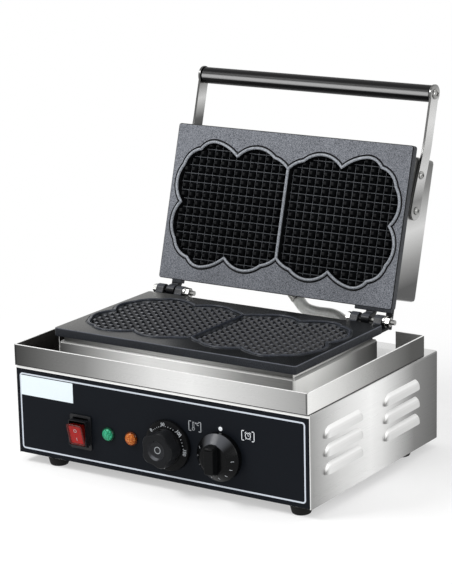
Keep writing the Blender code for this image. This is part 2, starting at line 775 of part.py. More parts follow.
def lobed_outline(radius):
    steps = DIAL_LOBES * 6
    turn = 2 * math.pi / steps
    reach = [radius * (1 + DIAL_LOBE_SHARE * math.cos(DIAL_LOBES * turn * i))
             for i in range(steps)]
    return [(r * math.cos(turn * i), r * math.sin(turn * i)) for i, r in enumerate(reach)]


def taper_top(mesh, height, width_share, length_share):
    for vertex in mesh.vertices:
        if vertex.co.z > height:
            vertex.co.x *= width_share
            vertex.co.y *= length_share
    return mesh


def shaft_bore():
    return rod_mesh(SHAFT_RADIUS + RUNNING_GAP, -OVERRUN, SHAFT_REACH + RUNNING_GAP, SMALL_STEPS)


def make_temperature_knob():
    profile = ((0, DIAL_HUB), (DIAL_HUB_RADIUS, DIAL_HUB), (DIAL_HUB_RADIUS, DIAL_THICKNESS),
               (DIAL_RIM, DIAL_THICKNESS), (DIAL_RADIUS, DIAL_THICKNESS / 2),
               (DIAL_RADIUS, KNOB_STANDOFF), (0, KNOB_STANDOFF))
    knob = add_object("temperature_knob", turned_mesh(profile, ROUND_STEPS + 4), BLACK)
    shade_round(knob)
    place_part(knob, (DIAL_X, PANEL_Y, DIAL_Z), math.pi / 2)
    cap = outline_mesh([lobed_outline(DIAL_CAP_RADIUS)], DIAL_HUB - OVERRUN, DIAL_CAP_REACH)
    join(knob, taper_top(cap, DIAL_HUB, DIAL_CAP_TAPER_SHARE, DIAL_CAP_TAPER_SHARE))
    cut(knob, rod_mesh(DIAL_DISH_RADIUS - DIAL_DISH_DEPTH, DIAL_CAP_REACH - DIAL_DISH_DEPTH,
                       DIAL_CAP_REACH + OVERRUN, SMALL_STEPS + 4, DIAL_DISH_RADIUS + OVERRUN))
    cut(knob, shaft_bore())


def make_timer_knob():
    profile = ((0, TIMER_CONE), (TIMER_CONE_TOP, TIMER_CONE), (TIMER_RIM, TIMER_RIM_THICKNESS),
               (TIMER_RADIUS, TIMER_RIM_THICKNESS), (TIMER_RADIUS, KNOB_STANDOFF),
               (0, KNOB_STANDOFF))
    knob = add_object("timer_knob", turned_mesh(profile, ROUND_STEPS + 4), BLACK)
    shade_round(knob)
    place_part(knob, (TIMER_X, PANEL_Y, TIMER_Z), math.pi / 2)
    grip = outline_mesh([centred_rectangle(TIMER_GRIP_WIDTH, TIMER_GRIP_LENGTH,
                                           TIMER_GRIP_ROUND)], TIMER_CONE / 2, TIMER_GRIP_REACH)
    join(knob, taper_top(grip, TIMER_CONE, 1, TIMER_GRIP_TOP_SHARE))
    cut(knob, shaft_bore())


def make_control(name, x, z, size, depth, material):
    """A control behind the panel with its bush and shaft through it."""
    back = PANEL_THICKNESS + SEAT_GAP
    body = add_object(name, box_mesh((-size / 2, -size / 2, -back - depth),
                                     (size / 2, size / 2, -back)), material)
    round_edges(body, BASE_PLATE_THICKNESS)
    place_part(body, (x, PANEL_Y, z), math.pi / 2)
    join(body, rod_mesh(BUSH_RADIUS, -back - OVERRUN, KNOB_STANDOFF - SEAT_GAP, SMALL_STEPS + 4))
    join(body, rod_mesh(SHAFT_RADIUS, -back - OVERRUN / 2, SHAFT_REACH, SMALL_STEPS))


def make_terminal_block():
    low = FLOOR_TO_HOUSING + BASE_PLATE_THICKNESS + SEAT_GAP
    middle = PANEL_Y + HOUSING_DEPTH - TERMINAL_FROM_BACK
    block = add_object("terminal_block", box_mesh(
        (GLAND_X - TERMINAL_LENGTH / 2, middle - TERMINAL_WIDTH / 2, low),
        (GLAND_X + TERMINAL_LENGTH / 2, middle + TERMINAL_WIDTH / 2,
         low + TERMINAL_HEIGHT)), CERAMIC)
    pitch = TERMINAL_LENGTH / TERMINAL_WAYS
    slots = []
    for index in range(TERMINAL_WAYS):
        x = GLAND_X + (index - (TERMINAL_WAYS - 1) / 2) * pitch
        slots.append(box_mesh(
            (x - TERMINAL_SLOT / 2, middle - TERMINAL_WIDTH, low + TERMINAL_HEIGHT
             - TERMINAL_SLOT_DEPTH),
            (x + TERMINAL_SLOT / 2, middle + TERMINAL_WIDTH, low + TERMINAL_HEIGHT + OVERRUN)))
    cut(block, merged_mesh(slots))


def make_gland():
    profile = ((GLAND_BORE, GLAND_REACH), (GLAND_NECK, GLAND_REACH),
               (GLAND_RADIUS, GLAND_REACH * 0.6), (GLAND_RADIUS, SEAT_GAP),
               (GLAND_NECK, SEAT_GAP), (GLAND_NECK, -HOUSING_WALL - GLAND_INNER),
               (GLAND_BORE, -HOUSING_WALL - GLAND_INNER), (GLAND_BORE, GLAND_REACH))
    gland = add_object("cable_gland", turned_mesh(profile, SMALL_STEPS + 4), BLACK)
    shade_round(gland)
    place_part(gland, (GLAND_X, PANEL_Y + HOUSING_DEPTH, FLOOR_TO_HOUSING + GLAND_Z),
               -math.pi / 2)


# Splash tray and heater box

def make_tray():
    half = HOUSING_WIDTH / 2 - TRAY_SETBACK
    front = PANEL_Y - TRAY_OVERHANG
    back = PANEL_Y + TRAY_BACK
    low = DECK_TOP + SEAT_GAP
    high = low + TRAY_HEIGHT
    tray = add_object("splash_tray", box_mesh((-half, front, low), (half, back, high)), STEEL)
    cut(tray, box_mesh((-half + TRAY_SHEET, front + TRAY_SHEET, low + TRAY_SHEET),
                       (half - TRAY_SHEET, back - TRAY_SHEET, high + OVERRUN)))
    opening = half - TRAY_RETURN
    cut(tray, box_mesh((-opening, back - TRAY_SHEET - OVERRUN, low + TRAY_SHEET),
                       (opening, back + OVERRUN, high + OVERRUN)))
    seams = []
    for side in (-1, 1):
        inner = side * (half - TRAY_SHEET - TRAY_SEAM)
        outer = side * (half - TRAY_SHEET)
        seams.append(box_mesh((min(inner, outer), front - OVERRUN, low + TRAY_SHEET),
                              (max(inner, outer), front + TRAY_SHEET + OVERRUN / 4,
                               high + OVERRUN)))
    cut(tray, merged_mesh(seams))
    hole = rod_mesh(WIRE_HOLE_RADIUS, low - OVERRUN, low + TRAY_SHEET + OVERRUN)
    cut(tray, moved(hole, Matrix.Translation((0, PANEL_Y + WIRE_HOLE_DEPTH, 0))))


def make_heater_box():
    half = BOX_WIDTH / 2
    front = PANEL_Y + BOX_FRONT
    back = PANEL_Y + BOX_BACK
    low = TRAY_FLOOR_TOP + SEAT_GAP
    shoulder = FLOOR_TO_HOUSING + BOX_TOP
    top = PLATE_BOTTOM - SEAT_GAP
    inset = BOX_NECK_INSET
    box = add_object("heater_box", hood_mesh(
        (-half, front, low), (half, back, shoulder), BOX_ROUND, 1), STEEL)
    join(box, box_mesh((-half + inset, front + inset, low + BOX_ROUND),
                       (half - inset, back - inset, top)))
    wall = BOX_SHEET
    cut(box, box_mesh((-half + wall, front + wall, low - OVERRUN),
                      (half - wall, back - wall, shoulder - wall)))
    cut(box, box_mesh((-half + inset + wall, front + inset + wall, shoulder - wall - OVERRUN),
                      (half - inset - wall, back - inset - wall, top + OVERRUN)))
    hole = rod_mesh(FITTING_COLLAR + SEAT_GAP, -OVERRUN, OVERRUN, SMALL_STEPS + 4)
    place = Matrix.Translation((BOX_FITTING_X, back, FLOOR_TO_HOUSING + BOX_FITTING_Z))
    cut(box, moved(hole, place @ Matrix.Rotation(-math.pi / 2, 4, "X")))


# Cast plates: face up, middle of the face at the origin, hinge side at +Y

def bulged_chain(points, bulges, steps):
    """A chain of arcs through points, each arc's height a share of its chord."""
    chain = [points[0]]
    for start, end, bulge, count in zip(points, points[1:], bulges, steps):
        a, b = Vector(start), Vector(end)
        chord = b - a
        normal = Vector((-chord.y, chord.x)).normalized()
        height = bulge * chord.length
        radius = (chord.length ** 2 / 4 + height ** 2) / (2 * height)
        centre = (a + b) / 2 + normal * (height - radius)
        first = math.atan2(a.y - centre.y, a.x - centre.x)
        last = math.atan2(b.y - centre.y, b.x - centre.x)
        turn = (last - first + math.pi) % (2 * math.pi) - math.pi
        for i in range(1, count + 1):
            angle = first + turn * i / count
            chain.append((centre.x + radius * math.cos(angle), centre.y + radius * math.sin(angle)))
    return chain


def clover_quarter():
    """The rim's middle line from the divider to the outer notch, counter-clockwise last."""
    points = [(x * CAVITY_HALF_WIDTH, y * CAVITY_HALF_DEPTH) for x, y in CLOVER_POINT_SHARES]
    return bulged_chain(points, CLOVER_BULGE_SHARES, CLOVER_STEPS)


def mirrored(points, x_sign, y_sign):
    return [(x * x_sign, y * y_sign) for x, y in points]


def cavity_outline():
    """The right cavity's outline, clockwise, starting at the top of the divider."""
    quarter = clover_quarter()
    return quarter + mirrored(reversed(quarter[:-1]), 1, -1)


def double_outline():
    """One outline round both cavities, clockwise."""
    quarter = clover_quarter()
    right = quarter + mirrored(reversed(quarter[1:-1]), 1, -1)
    left = mirrored(quarter, -1, -1) + mirrored(reversed(quarter[1:-1]), -1, 1)
    return right + left


def offset_outline(outline, distance):
    """Moves each point of a clockwise outline outwards by distance, along its mitre."""
    result = []
    count = len(outline)
    for i in range(count):
        before, here, after = (Vector(outline[(i + k) % count]) for k in (-1, 0, 1))
        first = (here - before).normalized()
        second = (after - here).normalized()
        n1, n2 = Vector((-first.y, first.x)), Vector((-second.y, second.x))
        mitre = (n1 + n2).normalized()
        result.append(tuple(here + mitre * (distance / max(mitre.dot(n1), 0.4))))
    return result


def tapered_mesh(outline, low, high, low_offset, high_offset):
    """A prism whose outline grows or shrinks from its lower to its upper end."""
    bm = bmesh.new()
    bottom = [bm.verts.new((x, y, low)) for x, y in offset_outline(outline, low_offset)]
    base = bm.faces.new(bottom)
    top = bmesh.ops.extrude_face_region(bm, geom=[base])["geom"]
    raised = [v for v in top if isinstance(v, bmesh.types.BMVert)]
    for (x, y), (new_x, new_y) in zip(offset_outline(outline, low_offset),
                                      offset_outline(outline, high_offset)):
        vertex = min(raised, key=lambda v: (v.co.x - x) ** 2 + (v.co.y - y) ** 2)
        vertex.co = (new_x, new_y, high)
        raised.remove(vertex)
    return mesh_from(bm, "tapered")


def peg_bed_mesh(valley, bottom):
    """A slab with a field of square pegs that share their valleys."""
    bm = bmesh.new()
    bmesh.ops.create_grid(bm, x_segments=PEG_COLUMNS, y_segments=PEG_ROWS, size=0.5)
    size = Matrix.Diagonal((PEG_COLUMNS * PEG_PITCH, PEG_ROWS * PEG_PITCH, 1, 1))
    bmesh.ops.transform(bm, matrix=Matrix.Translation((0, 0, bottom)) @ size, verts=bm.verts)
    raised = bmesh.ops.extrude_face_region(bm, geom=list(bm.faces))["geom"]
    for vertex in [v for v in raised if isinstance(v, bmesh.types.BMVert)]:
        vertex.co.z = valley
    cells = [f for f in raised if isinstance(f, bmesh.types.BMFace)]
    bmesh.ops.recalc_face_normals(bm, faces=bm.faces)
    bmesh.ops.inset_individual(bm, faces=cells, thickness=(PEG_PITCH - PEG_TOP) / 2,
                               depth=PEG_HEIGHT)
    return mesh_from(bm, "peg_bed")


def cavity_cutter():
    """Both cavities as one cutter, with the pegs left standing."""
    valley = -CAVITY_DEPTH
    floor = valley - CAVITY_FLOOR_UNDERCUT
    slope = CAVITY_WALL_RUN / (RIM_HEIGHT + CAVITY_DEPTH)
    edge = -RIM_WIDTH / 2
    low_offset = edge - slope * (RIM_HEIGHT - floor)
    high_offset = edge + slope * OVERRUN
    right = tapered_mesh(cavity_outline(), floor, RIM_HEIGHT + OVERRUN, low_offset, high_offset)
    left = moved(right.copy(), Matrix.Diagonal((-1, 1, 1, 1)))
    cutter = add_object("cavity_cutter", merged_mesh([right, left]), None, CUTTERS)
    cutter.hide_render = True
    cutter.display_type = "WIRE"
    combine(cutter, peg_bed_mesh(valley, floor - PEG_BED_THICKNESS), "DIFFERENCE")
    graph = bpy.context.evaluated_depsgraph_get()
    return bpy.data.meshes.new_from_object(cutter.evaluated_get(graph))


def plate_blank():
    """The slab with its chamfered edges and the raised rim round both cavities."""
    half_width, half_depth = PLATE_WIDTH / 2, PLATE_DEPTH / 2
    slab = outline_mesh([centred_rectangle(PLATE_WIDTH, PLATE_DEPTH, PLATE_CORNER)],
                        -PLATE_THICKNESS, 0)
    holder = add_object("plate_blank", slab, None, CUTTERS)
    holder.hide_render = True
    holder.display_type = "WIRE"
    round_edges(holder, PLATE_CHAMFER, 1, 60.0)
    join(holder, tapered_mesh(double_outline(), -PLATE_CHAMFER, RIM_HEIGHT,
                              RIM_WIDTH / 2 + RIM_SLOPE, RIM_WIDTH / 2 - RIM_SLOPE))
    graph = bpy.context.evaluated_depsgraph_get()
    return bpy.data.meshes.new_from_object(holder.evaluated_get(graph))


def bored(outline, length, start):
    """A knuckle's side view with the pin's bore, made solid along X from start."""
    bore = circle(PIN_RADIUS + RUNNING_GAP, SMALL_STEPS)
    return moved(outline_mesh([outline, bore], start, start + length), along_x())


def lower_knuckle_outline():
    """Side view about the hinge axis, first value to the back, second up."""
    root = -HINGE_BEHIND_PLATE - KNUCKLE_ROOT
    top = -HINGE_RISE - PLATE_CHAMFER
    bottom = -HINGE_RISE - PLATE_THICKNESS + PLATE_CHAMFER
    barrel = arc((0, 0), KNUCKLE_RADIUS, 150, -110, 9)
    return [(root, top), (-KNUCKLE_RADIUS * 1.45, top)] + barrel + [(root, bottom)]


def upper_knuckle_outline():
    root = -HINGE_BEHIND_PLATE - KNUCKLE_ROOT
    back = LID_FACE + PLATE_THICKNESS - PLATE_CHAMFER
    face = LID_FACE + PLATE_CHAMFER
    barrel = arc((0, 0), KNUCKLE_RADIUS, 60, -150, 9)
    return ([(root, back), (-HINGE_BEHIND_PLATE + KNUCKLE_ROOT, back)] + barrel
            + [(-KNUCKLE_RADIUS * 1.4, face), (root, face)])


def tab_outline():
    """A tab that lengthens the plate's face a little towards the hinge."""
    root = -HINGE_BEHIND_PLATE - KNUCKLE_ROOT
    end = -HINGE_BEHIND_PLATE + TAB_DROP
    face = LID_FACE + PLATE_CHAMFER / 2
    back = LID_FACE + PLATE_THICKNESS - PLATE_CHAMFER * 2
    return [(root, face), (end - PLATE_CHAMFER, face), (end, face + PLATE_CHAMFER), (end, back),
            (root, back)]


def stop_ledge_outline():
    """A ledge under the nut whose sloped end meets the lid's stop lug."""
    root = -HINGE_BEHIND_PLATE - KNUCKLE_ROOT
    top = -STOP_LEDGE_TOP
    bottom = top - STOP_LEDGE_THICKNESS
    lean = math.tan(LID_LEAN)
    plane = (STOP_OFFSET - SEAT_GAP) / math.cos(LID_LEAN)
    return [(root, top), (root, bottom), (plane + bottom * lean, bottom),
            (plane + top * lean, top)]


def stop_lug_outline():
    root = -HINGE_BEHIND_PLATE - KNUCKLE_ROOT
    back = LID_FACE + PLATE_THICKNESS - PLATE_CHAMFER
    return [(root, STOP_OFFSET), (STOP_REACH, STOP_OFFSET),
            (STOP_REACH, back - PLATE_CHAMFER), (STOP_REACH - PLATE_CHAMFER, back), (root, back)]


def across(outline, low, high):
    """A side view made solid along X from low to high."""
    return moved(outline_mesh([outline], low, high), along_x())


def lower_hinge_mesh():
    meshes = []
    for _, start, gap in HINGE_UNITS:
        for offset in (0, LAST_KNUCKLE_START + gap):
            meshes.append(bored(lower_knuckle_outline(), KNUCKLE_LENGTH, start + offset))
    return merged_mesh(meshes)


def upper_hinge_mesh():
    return merged_mesh([bored(upper_knuckle_outline(), KNUCKLE_LENGTH, start + LID_KNUCKLE_START)
                        for _, start, _ in HINGE_UNITS])


def tab_mesh():
    return merged_mesh([across(tab_outline(), *ends) for ends in (TAB_LEFT, TAB_RIGHT)])


def plate_place(face_height, turned_over):
    """Where the plate's face goes, seen from the hinge axis with the lid closed."""
    middle = -HINGE_BEHIND_PLATE - PLATE_DEPTH / 2
    place = Matrix.Translation((0, middle, face_height))
    return place @ Matrix.Rotation(math.pi, 4, "Y") if turned_over else place


def make_plate(name, material, place, additions, parent, location, cutter):
    plate = add_object(name, moved(plate_blank(), place), material)
    place_part(plate, location, 0, parent)
    for addition in additions:
        join(plate, addition)
    cut(plate, moved(cutter.copy(), place))


def make_plates(lid):
    cutter = cavity_cutter()
    stop_end = STOP_START + STOP_WIDTH
    make_plate("lower_plate", CAST, plate_place(-HINGE_RISE, False),
               (lower_hinge_mesh(), across(stop_ledge_outline(), STOP_START, stop_end)),
               None, (0, HINGE_Y, HINGE_Z), cutter)
    make_plate("upper_plate", CAST_GREY, plate_place(LID_FACE, True),
               (tab_mesh(), upper_hinge_mesh(), across(stop_lug_outline(), STOP_START, stop_end)),
               lid, (0, 0, 0), cutter)


# Hinge hardware, both on the base

def hexagon(radius):
    return circle(radius, 6)


def make_hinge_pins():
    for side, start, gap in HINGE_UNITS:
        end = HINGE_LENGTH + gap + SEAT_GAP
        pin = outline_mesh([hexagon(PIN_HEAD_RADIUS)], -PIN_HEAD_LENGTH - SEAT_GAP, -SEAT_GAP)
        item = add_object("hinge_pin_" + side, moved(pin, along_x()), BRIGHT)
        place_part(item, (start, HINGE_Y, HINGE_Z))
        shank = rod_mesh(PIN_RADIUS, -PIN_HEAD_LENGTH / 2, end + NUT_LENGTH + PIN_TAIL, SMALL_STEPS)
        join(item, moved(shank, along_x()))
        make_hinge_nut(side, start, end)


def make_hinge_nut(side, start, low):
    """A nut with a round flange against the last knuckle."""
    bore = circle(PIN_RADIUS + SEAT_GAP, SMALL_STEPS)
    ring = outline_mesh([hexagon(NUT_RADIUS), bore], low, low + NUT_LENGTH)
    nut = add_object("hinge_nut_" + side, moved(ring, along_x()), BRIGHT)
    place_part(nut, (start, HINGE_Y, HINGE_Z))
    flange = outline_mesh([circle(NUT_FLANGE_RADIUS, SMALL_STEPS * 2), bore],
                          low, low + NUT_FLANGE)
    join(nut, moved(flange, along_x()))


# Lid pieces, built closed about the hinge axis

def lid_point(along, rise):
    """Along the plate from its hinge edge, and rise from its cooking face."""
    return (-HINGE_BEHIND_PLATE - along, LID_FACE + rise)


def make_cover(lid):
    half = COVER_WIDTH / 2
    back, low = lid_point(COVER_BACK_INSET, PLATE_THICKNESS + SEAT_GAP)
    front, high = lid_point(PLATE_DEPTH - COVER_FRONT_INSET, PLATE_THICKNESS + COVER_DEPTH)
    cover = add_object("lid_cover", hood_mesh(
        (-half, front, low), (half, back, high), COVER_ROUND, 2), STEEL)
    place_part(cover, (0, 0, 0), 0, lid)
    wall = COVER_SHEET
    cut(cover, hood_mesh((-half + wall, front + wall, low - OVERRUN),
                         (half - wall, back - wall, high - wall),
                         COVER_ROUND - COVER_SHEET, 2))
    screws = []
    for side in (-1, 1):
        for along in (ARM_SCREW_LOW, ARM_SCREW_HIGH):
            y, z = lid_point(along, ARM_SCREW_RISE)
            hole = rod_mesh(SCREW_SHANK_RADIUS + SEAT_GAP, -wall - OVERRUN, OVERRUN, SMALL_STEPS)
            screws.append(moved(hole, Matrix.Translation((side * half, y, z)) @ along_x()))
    cut(cover, merged_mesh(screws))
    hole = rod_mesh(FITTING_COLLAR + SEAT_GAP, -wall - OVERRUN, OVERRUN, SMALL_STEPS + 4)
    y, z = lid_point(COVER_BACK_INSET, LID_FITTING_RISE)
    cut(cover, moved(hole, Matrix.Translation((LID_FITTING_X, y, z))
                     @ Matrix.Rotation(-math.pi / 2, 4, "X")))


def arm_outline():
    """Side view of an arm: a rounded foot, an S-bend and a disc round the grip's end."""
    foot = lid_point(ARM_FOOT_ALONG, ARM_FOOT_RISE)
    disc = lid_point(GRIP_ALONG, GRIP_RISE)
    steps = 5
    upper, lower = [], []
    for i in range(steps + 1):
        share = i / steps
        ease = share * share * (3 - 2 * share)
        along = ARM_FOOT_ALONG + (ARM_NECK_ALONG - ARM_FOOT_ALONG) * share
        rise = ARM_FOOT_RISE + (ARM_NECK_RISE - ARM_FOOT_RISE) * ease
        half = ARM_FOOT_RADIUS + (ARM_NECK_HALF_WIDTH - ARM_FOOT_RADIUS) * share
        upper.append(lid_point(along, rise + half))
        lower.append(lid_point(along, rise - half))
    lean = math.degrees(math.asin(ARM_NECK_HALF_WIDTH / ARM_DISC_RADIUS))
    head = arc(disc, ARM_DISC_RADIUS, lean, 360 - lean, 12)
    tail = arc(foot, ARM_FOOT_RADIUS, -90, 90, 6)[1:-1]
    return upper + head + list(reversed(lower)) + tail


def make_arms(lid):
    inner = COVER_WIDTH / 2 + SEAT_GAP
    for name, side in (("left", -1), ("right", 1)):
        low, high = sorted((side * inner, side * (inner + ARM_THICKNESS)))
        arm = add_object("handle_arm_" + name,
                         moved(outline_mesh([arm_outline()], low, high), along_x()), STEEL)
        place_part(arm, (0, 0, 0), 0, lid)
        holes = []
        for along in (ARM_SCREW_LOW, ARM_SCREW_HIGH):
            y, z = lid_point(along, ARM_SCREW_RISE)
            holes.append(moved(
                rod_mesh(SCREW_SHANK_RADIUS + SEAT_GAP, low - OVERRUN, high + OVERRUN,
                         SMALL_STEPS), Matrix.Translation((0, y, z)) @ along_x()))
        y, z = lid_point(GRIP_ALONG, GRIP_RISE)
        holes.append(moved(
            rod_mesh(END_SCREW_SHANK + SEAT_GAP, low - OVERRUN, high + OVERRUN, SMALL_STEPS),
            Matrix.Translation((0, y, z)) @ along_x()))
        cut(arm, merged_mesh(holes))


def make_grip(lid):
    half = COVER_WIDTH / 2
    y, z = lid_point(GRIP_ALONG, GRIP_RISE)
    inner = GRIP_RADIUS - GRIP_ROUND
    end = half - GRIP_ROUND
    profile = ((0, half), (inner, half), (GRIP_RADIUS, end), (GRIP_RADIUS, -end),
               (inner, -half), (0, -half))
    grip = add_object("handle_grip", moved(turned_mesh(profile), along_x()), BLACK)
    shade_round(grip)
    place_part(grip, (0, y, z), 0, lid)
    bores = [moved(rod_mesh(END_SCREW_SHANK + SEAT_GAP, -END_SCREW_LENGTH, OVERRUN, SMALL_STEPS),
                   Matrix.Translation((side * half, 0, 0)) @ along_x()
                   @ Matrix.Rotation(0 if side > 0 else math.pi, 4, "X"))
             for side in (-1, 1)]
    cut(grip, merged_mesh(bores))


def screw_mesh(head_radius, head_height, shank_radius, shank_length):
    profile = ((0, head_height), (head_radius * 0.55, head_height * 0.92),
               (head_radius * 0.88, head_height * 0.62), (head_radius, 0), (shank_radius, 0),
               (shank_radius, -shank_length), (0, -shank_length))
    return turned_mesh(profile, SMALL_STEPS)


def make_screw(name, side, along, rise, sizes, lid):
    """A screw through an arm, its head outside."""
    y, z = lid_point(along, rise)
    face = COVER_WIDTH / 2 + SEAT_GAP + ARM_THICKNESS + SEAT_GAP
    flip = Matrix.Diagonal((side, 1, 1, 1))
    screw = add_object(name, moved(screw_mesh(*sizes), flip @ along_x()), BRIGHT)
    shade_round(screw)
    place_part(screw, (side * face, y, z), 0, lid)


def make_screws(lid):
    arm_sizes = (SCREW_HEAD_RADIUS, SCREW_HEAD_HEIGHT, SCREW_SHANK_RADIUS, SCREW_SHANK_LENGTH)
    end_sizes = (END_SCREW_RADIUS, END_SCREW_HEIGHT, END_SCREW_SHANK,
                 END_SCREW_LENGTH - SEAT_GAP)
    for name, side in (("left", -1), ("right", 1)):
        make_screw("arm_screw_low_" + name, side, ARM_SCREW_LOW, ARM_SCREW_RISE, arm_sizes, lid)
        make_screw("arm_screw_high_" + name, side, ARM_SCREW_HIGH, ARM_SCREW_RISE, arm_sizes, lid)
        make_screw("grip_screw_" + name, side, GRIP_ALONG, GRIP_RISE, end_sizes, lid)


# Heaters, sensor and insulation

def element_route(lane_side):
    """Two long loops joined at one end, leaving a free lane along the middle."""
    w, d, lane = ELEMENT_HALF_WIDTH, ELEMENT_HALF_DEPTH, ELEMENT_LANE
    bend = (d - lane) / 2
    middle = (d + lane) / 2
    route = [(-w, lane), (w, lane)]
    route += arc((w, middle), bend, -90, 90, 4)[1:-1]
    route += [(w, d), (-w - bend, d), (-w - bend - lane, d - lane),
              (-w - bend - lane, lane_side * (d - lane)), (-w - bend, lane_side * d),
              (w, -d)]
    route += arc((w, -middle), bend, -90, 90, 4)[1:-1]
    route += [(w, -lane), (-w, -lane)]
    return route


def element_mesh(height):
    return tube_mesh([(x, y, height) for x, y in element_route(-1)], ELEMENT_RADIUS, 1)


def make_heaters(lid):
    middle = PANEL_Y + PLATE_FRONT + PLATE_DEPTH / 2
    height = PLATE_BOTTOM - SEAT_GAP - ELEMENT_RADIUS
    lower = add_object("lower_element", element_mesh(0), BRIGHT)
    place_part(lower, (0, middle, height))
    y, z = lid_point(PLATE_DEPTH / 2, PLATE_THICKNESS + SEAT_GAP + ELEMENT_RADIUS)
    upper = add_object("upper_element", element_mesh(0), BRIGHT)
    place_part(upper, (0, y, z), 0, lid)
    bulb = add_object("sensor_bulb", moved(
        rod_mesh(BULB_RADIUS, -BULB_LENGTH / 2, BULB_LENGTH / 2, SMALL_STEPS), along_x()), BRIGHT)
    place_part(bulb, (0, middle, PLATE_BOTTOM - SEAT_GAP - BULB_RADIUS))


def make_wool(lid):
    inset = BOX_NECK_INSET + BOX_SHEET + WOOL_MARGIN
    half = BOX_WIDTH / 2 - inset
    low = TRAY_FLOOR_TOP + SEAT_GAP
    lower = add_object("lower_insulation", box_mesh(
        (-half, PANEL_Y + BOX_FRONT + inset, low),
        (half, PANEL_Y + BOX_BACK - inset, low + WOOL_THICKNESS_LOWER)), WOOL)
    hole = rod_mesh(WIRE_HOLE_RADIUS, low - OVERRUN, low + WOOL_THICKNESS_LOWER + OVERRUN)
    cut(lower, moved(hole, Matrix.Translation((0, PANEL_Y + WIRE_HOLE_DEPTH, 0))))
    half = COVER_WIDTH / 2 - COVER_SHEET - WOOL_MARGIN
    margin = COVER_SHEET + WOOL_MARGIN
    top = PLATE_THICKNESS + COVER_DEPTH - COVER_SHEET - SEAT_GAP
    back, high = lid_point(COVER_BACK_INSET + margin * 4, top)
    front, low = lid_point(PLATE_DEPTH - COVER_FRONT_INSET - margin, top - WOOL_THICKNESS_UPPER)
    upper = add_object("upper_insulation", box_mesh((-half, front, low), (half, back, high)), WOOL)
    place_part(upper, (0, 0, 0), 0, lid)


# Conduit with its fittings

def smooth_route(points, steps):
    """A Catmull-Rom curve through points."""
    knots = [Vector(p) for p in points]
    knots = [2 * knots[0] - knots[1]] + knots + [2 * knots[-1] - knots[-2]]
    route = []
    for a, b, c, d in zip(knots, knots[1:], knots[2:], knots[3:]):
        for i in range(steps):
            t = i / steps
            route.append(0.5 * (2 * b + (c - a) * t + (2 * a - 5 * b + 4 * c - d) * t ** 2
                                + (3 * b - a - 3 * c + d) * t ** 3))
    route.append(knots[-2])
    return route


def resample(route, count):
    """Points at equal steps along a route."""
    lengths = [0.0]
    for a, b in zip(route, route[1:]):
        lengths.append(lengths[-1] + (b - a).length)
    result, index = [], 0
    for k in range(count):
        target = lengths[-1] * k / (count - 1)
        while index < len(route) - 2 and lengths[index + 1] < target:
            index += 1
        span = lengths[index + 1] - lengths[index]
        result.append(route[index].lerp(route[index + 1], (target - lengths[index]) / span))
    return result


def lid_to_world(x, y, z):
    """A point given about the closed lid's axis, turned with the lid to its rest."""
    turn = Matrix.Rotation(-math.radians(LID_OPENING), 4, "X")
    return Vector((0, HINGE_Y, HINGE_Z)) + turn @ Vector((x, y, z))


def conduit_ends():
    """The two fittings' mouths and the ways they point."""
    box_mouth = Vector((BOX_FITTING_X, PANEL_Y + BOX_BACK + FITTING_LENGTH + 2 * SEAT_GAP,
                        FLOOR_TO_HOUSING + BOX_FITTING_Z))
    y, z = lid_point(COVER_BACK_INSET, LID_FITTING_RISE)
    elbow = lid_to_world(LID_FITTING_X, y + ELBOW_DROP, z)
    way = Vector((math.sqrt(0.5), 0, -math.sqrt(0.5)))
    lid_mouth = elbow + way * (ELBOW_REACH + SEAT_GAP)
    return box_mouth, Vector((0, 1, 0)), lid_mouth, way


def conduit_route():
    box_mouth, box_way, lid_mouth, lid_way = conduit_ends()
    straight = 2 * CONDUIT_RADIUS
    first = lid_mouth + lid_way * straight
    return ([box_mouth, box_mouth + box_way * straight]
            + [box_mouth + Vector(offset) for offset in CONDUIT_POINTS]
            + [first + Vector(CONDUIT_LAST_POINT), first, lid_mouth])


def least_self_gap(points, radius):
    """The least clear distance between stretches of a tube that aren't neighbours."""
    apart = 4 * radius
    lengths = [0.0]
    for a, b in zip(points, points[1:]):
        lengths.append(lengths[-1] + (b - a).length)
    pairs = [(points[i] - points[j]).length for i in range(len(points)) for j in range(i)
             if lengths[i] - lengths[j] > apart]
    return min(pairs) - 2 * radius


def make_conduit():
    route = smooth_route(conduit_route(), 12)
    count = 2 * CONDUIT_RIBS
    points = resample(route, count)
    radii = [CONDUIT_RADIUS if i % 2 else CONDUIT_GROOVE for i in range(count)]
    conduit = add_object("conduit", tube_mesh(points, CONDUIT_RADIUS, 2, radii), BRIGHT)
    place_part(conduit, (0, 0, 0))
    first = points[0] + (points[0] - points[1]).normalized() * OVERRUN
    last = points[-1] + (points[-1] - points[-2]).normalized() * OVERRUN
    cut(conduit, tube_mesh([first] + points[1:-1:3] + [last], CONDUIT_BORE, 1))
    gap = least_self_gap(points, CONDUIT_RADIUS)
    print("conduit's least gap to itself: %.1f mm" % (gap * 1000))


def make_box_fitting():
    """A threaded collar through the heater box with a ring nut outside it."""
    profile = ((CONDUIT_BORE, FITTING_LENGTH), (FITTING_COLLAR, FITTING_LENGTH),
               (FITTING_RADIUS, FITTING_LENGTH * 0.8), (FITTING_RADIUS, 0),
               (FITTING_COLLAR, 0), (FITTING_COLLAR, -BOX_SHEET - OVERRUN),
               (CONDUIT_BORE, -BOX_SHEET - OVERRUN), (CONDUIT_BORE, FITTING_LENGTH))
    fitting = add_object("conduit_fitting_box", turned_mesh(profile, SMALL_STEPS + 4), BRIGHT)
    shade_round(fitting)
    place_part(fitting, (BOX_FITTING_X, PANEL_Y + BOX_BACK + SEAT_GAP,
                         FLOOR_TO_HOUSING + BOX_FITTING_Z), -math.pi / 2)


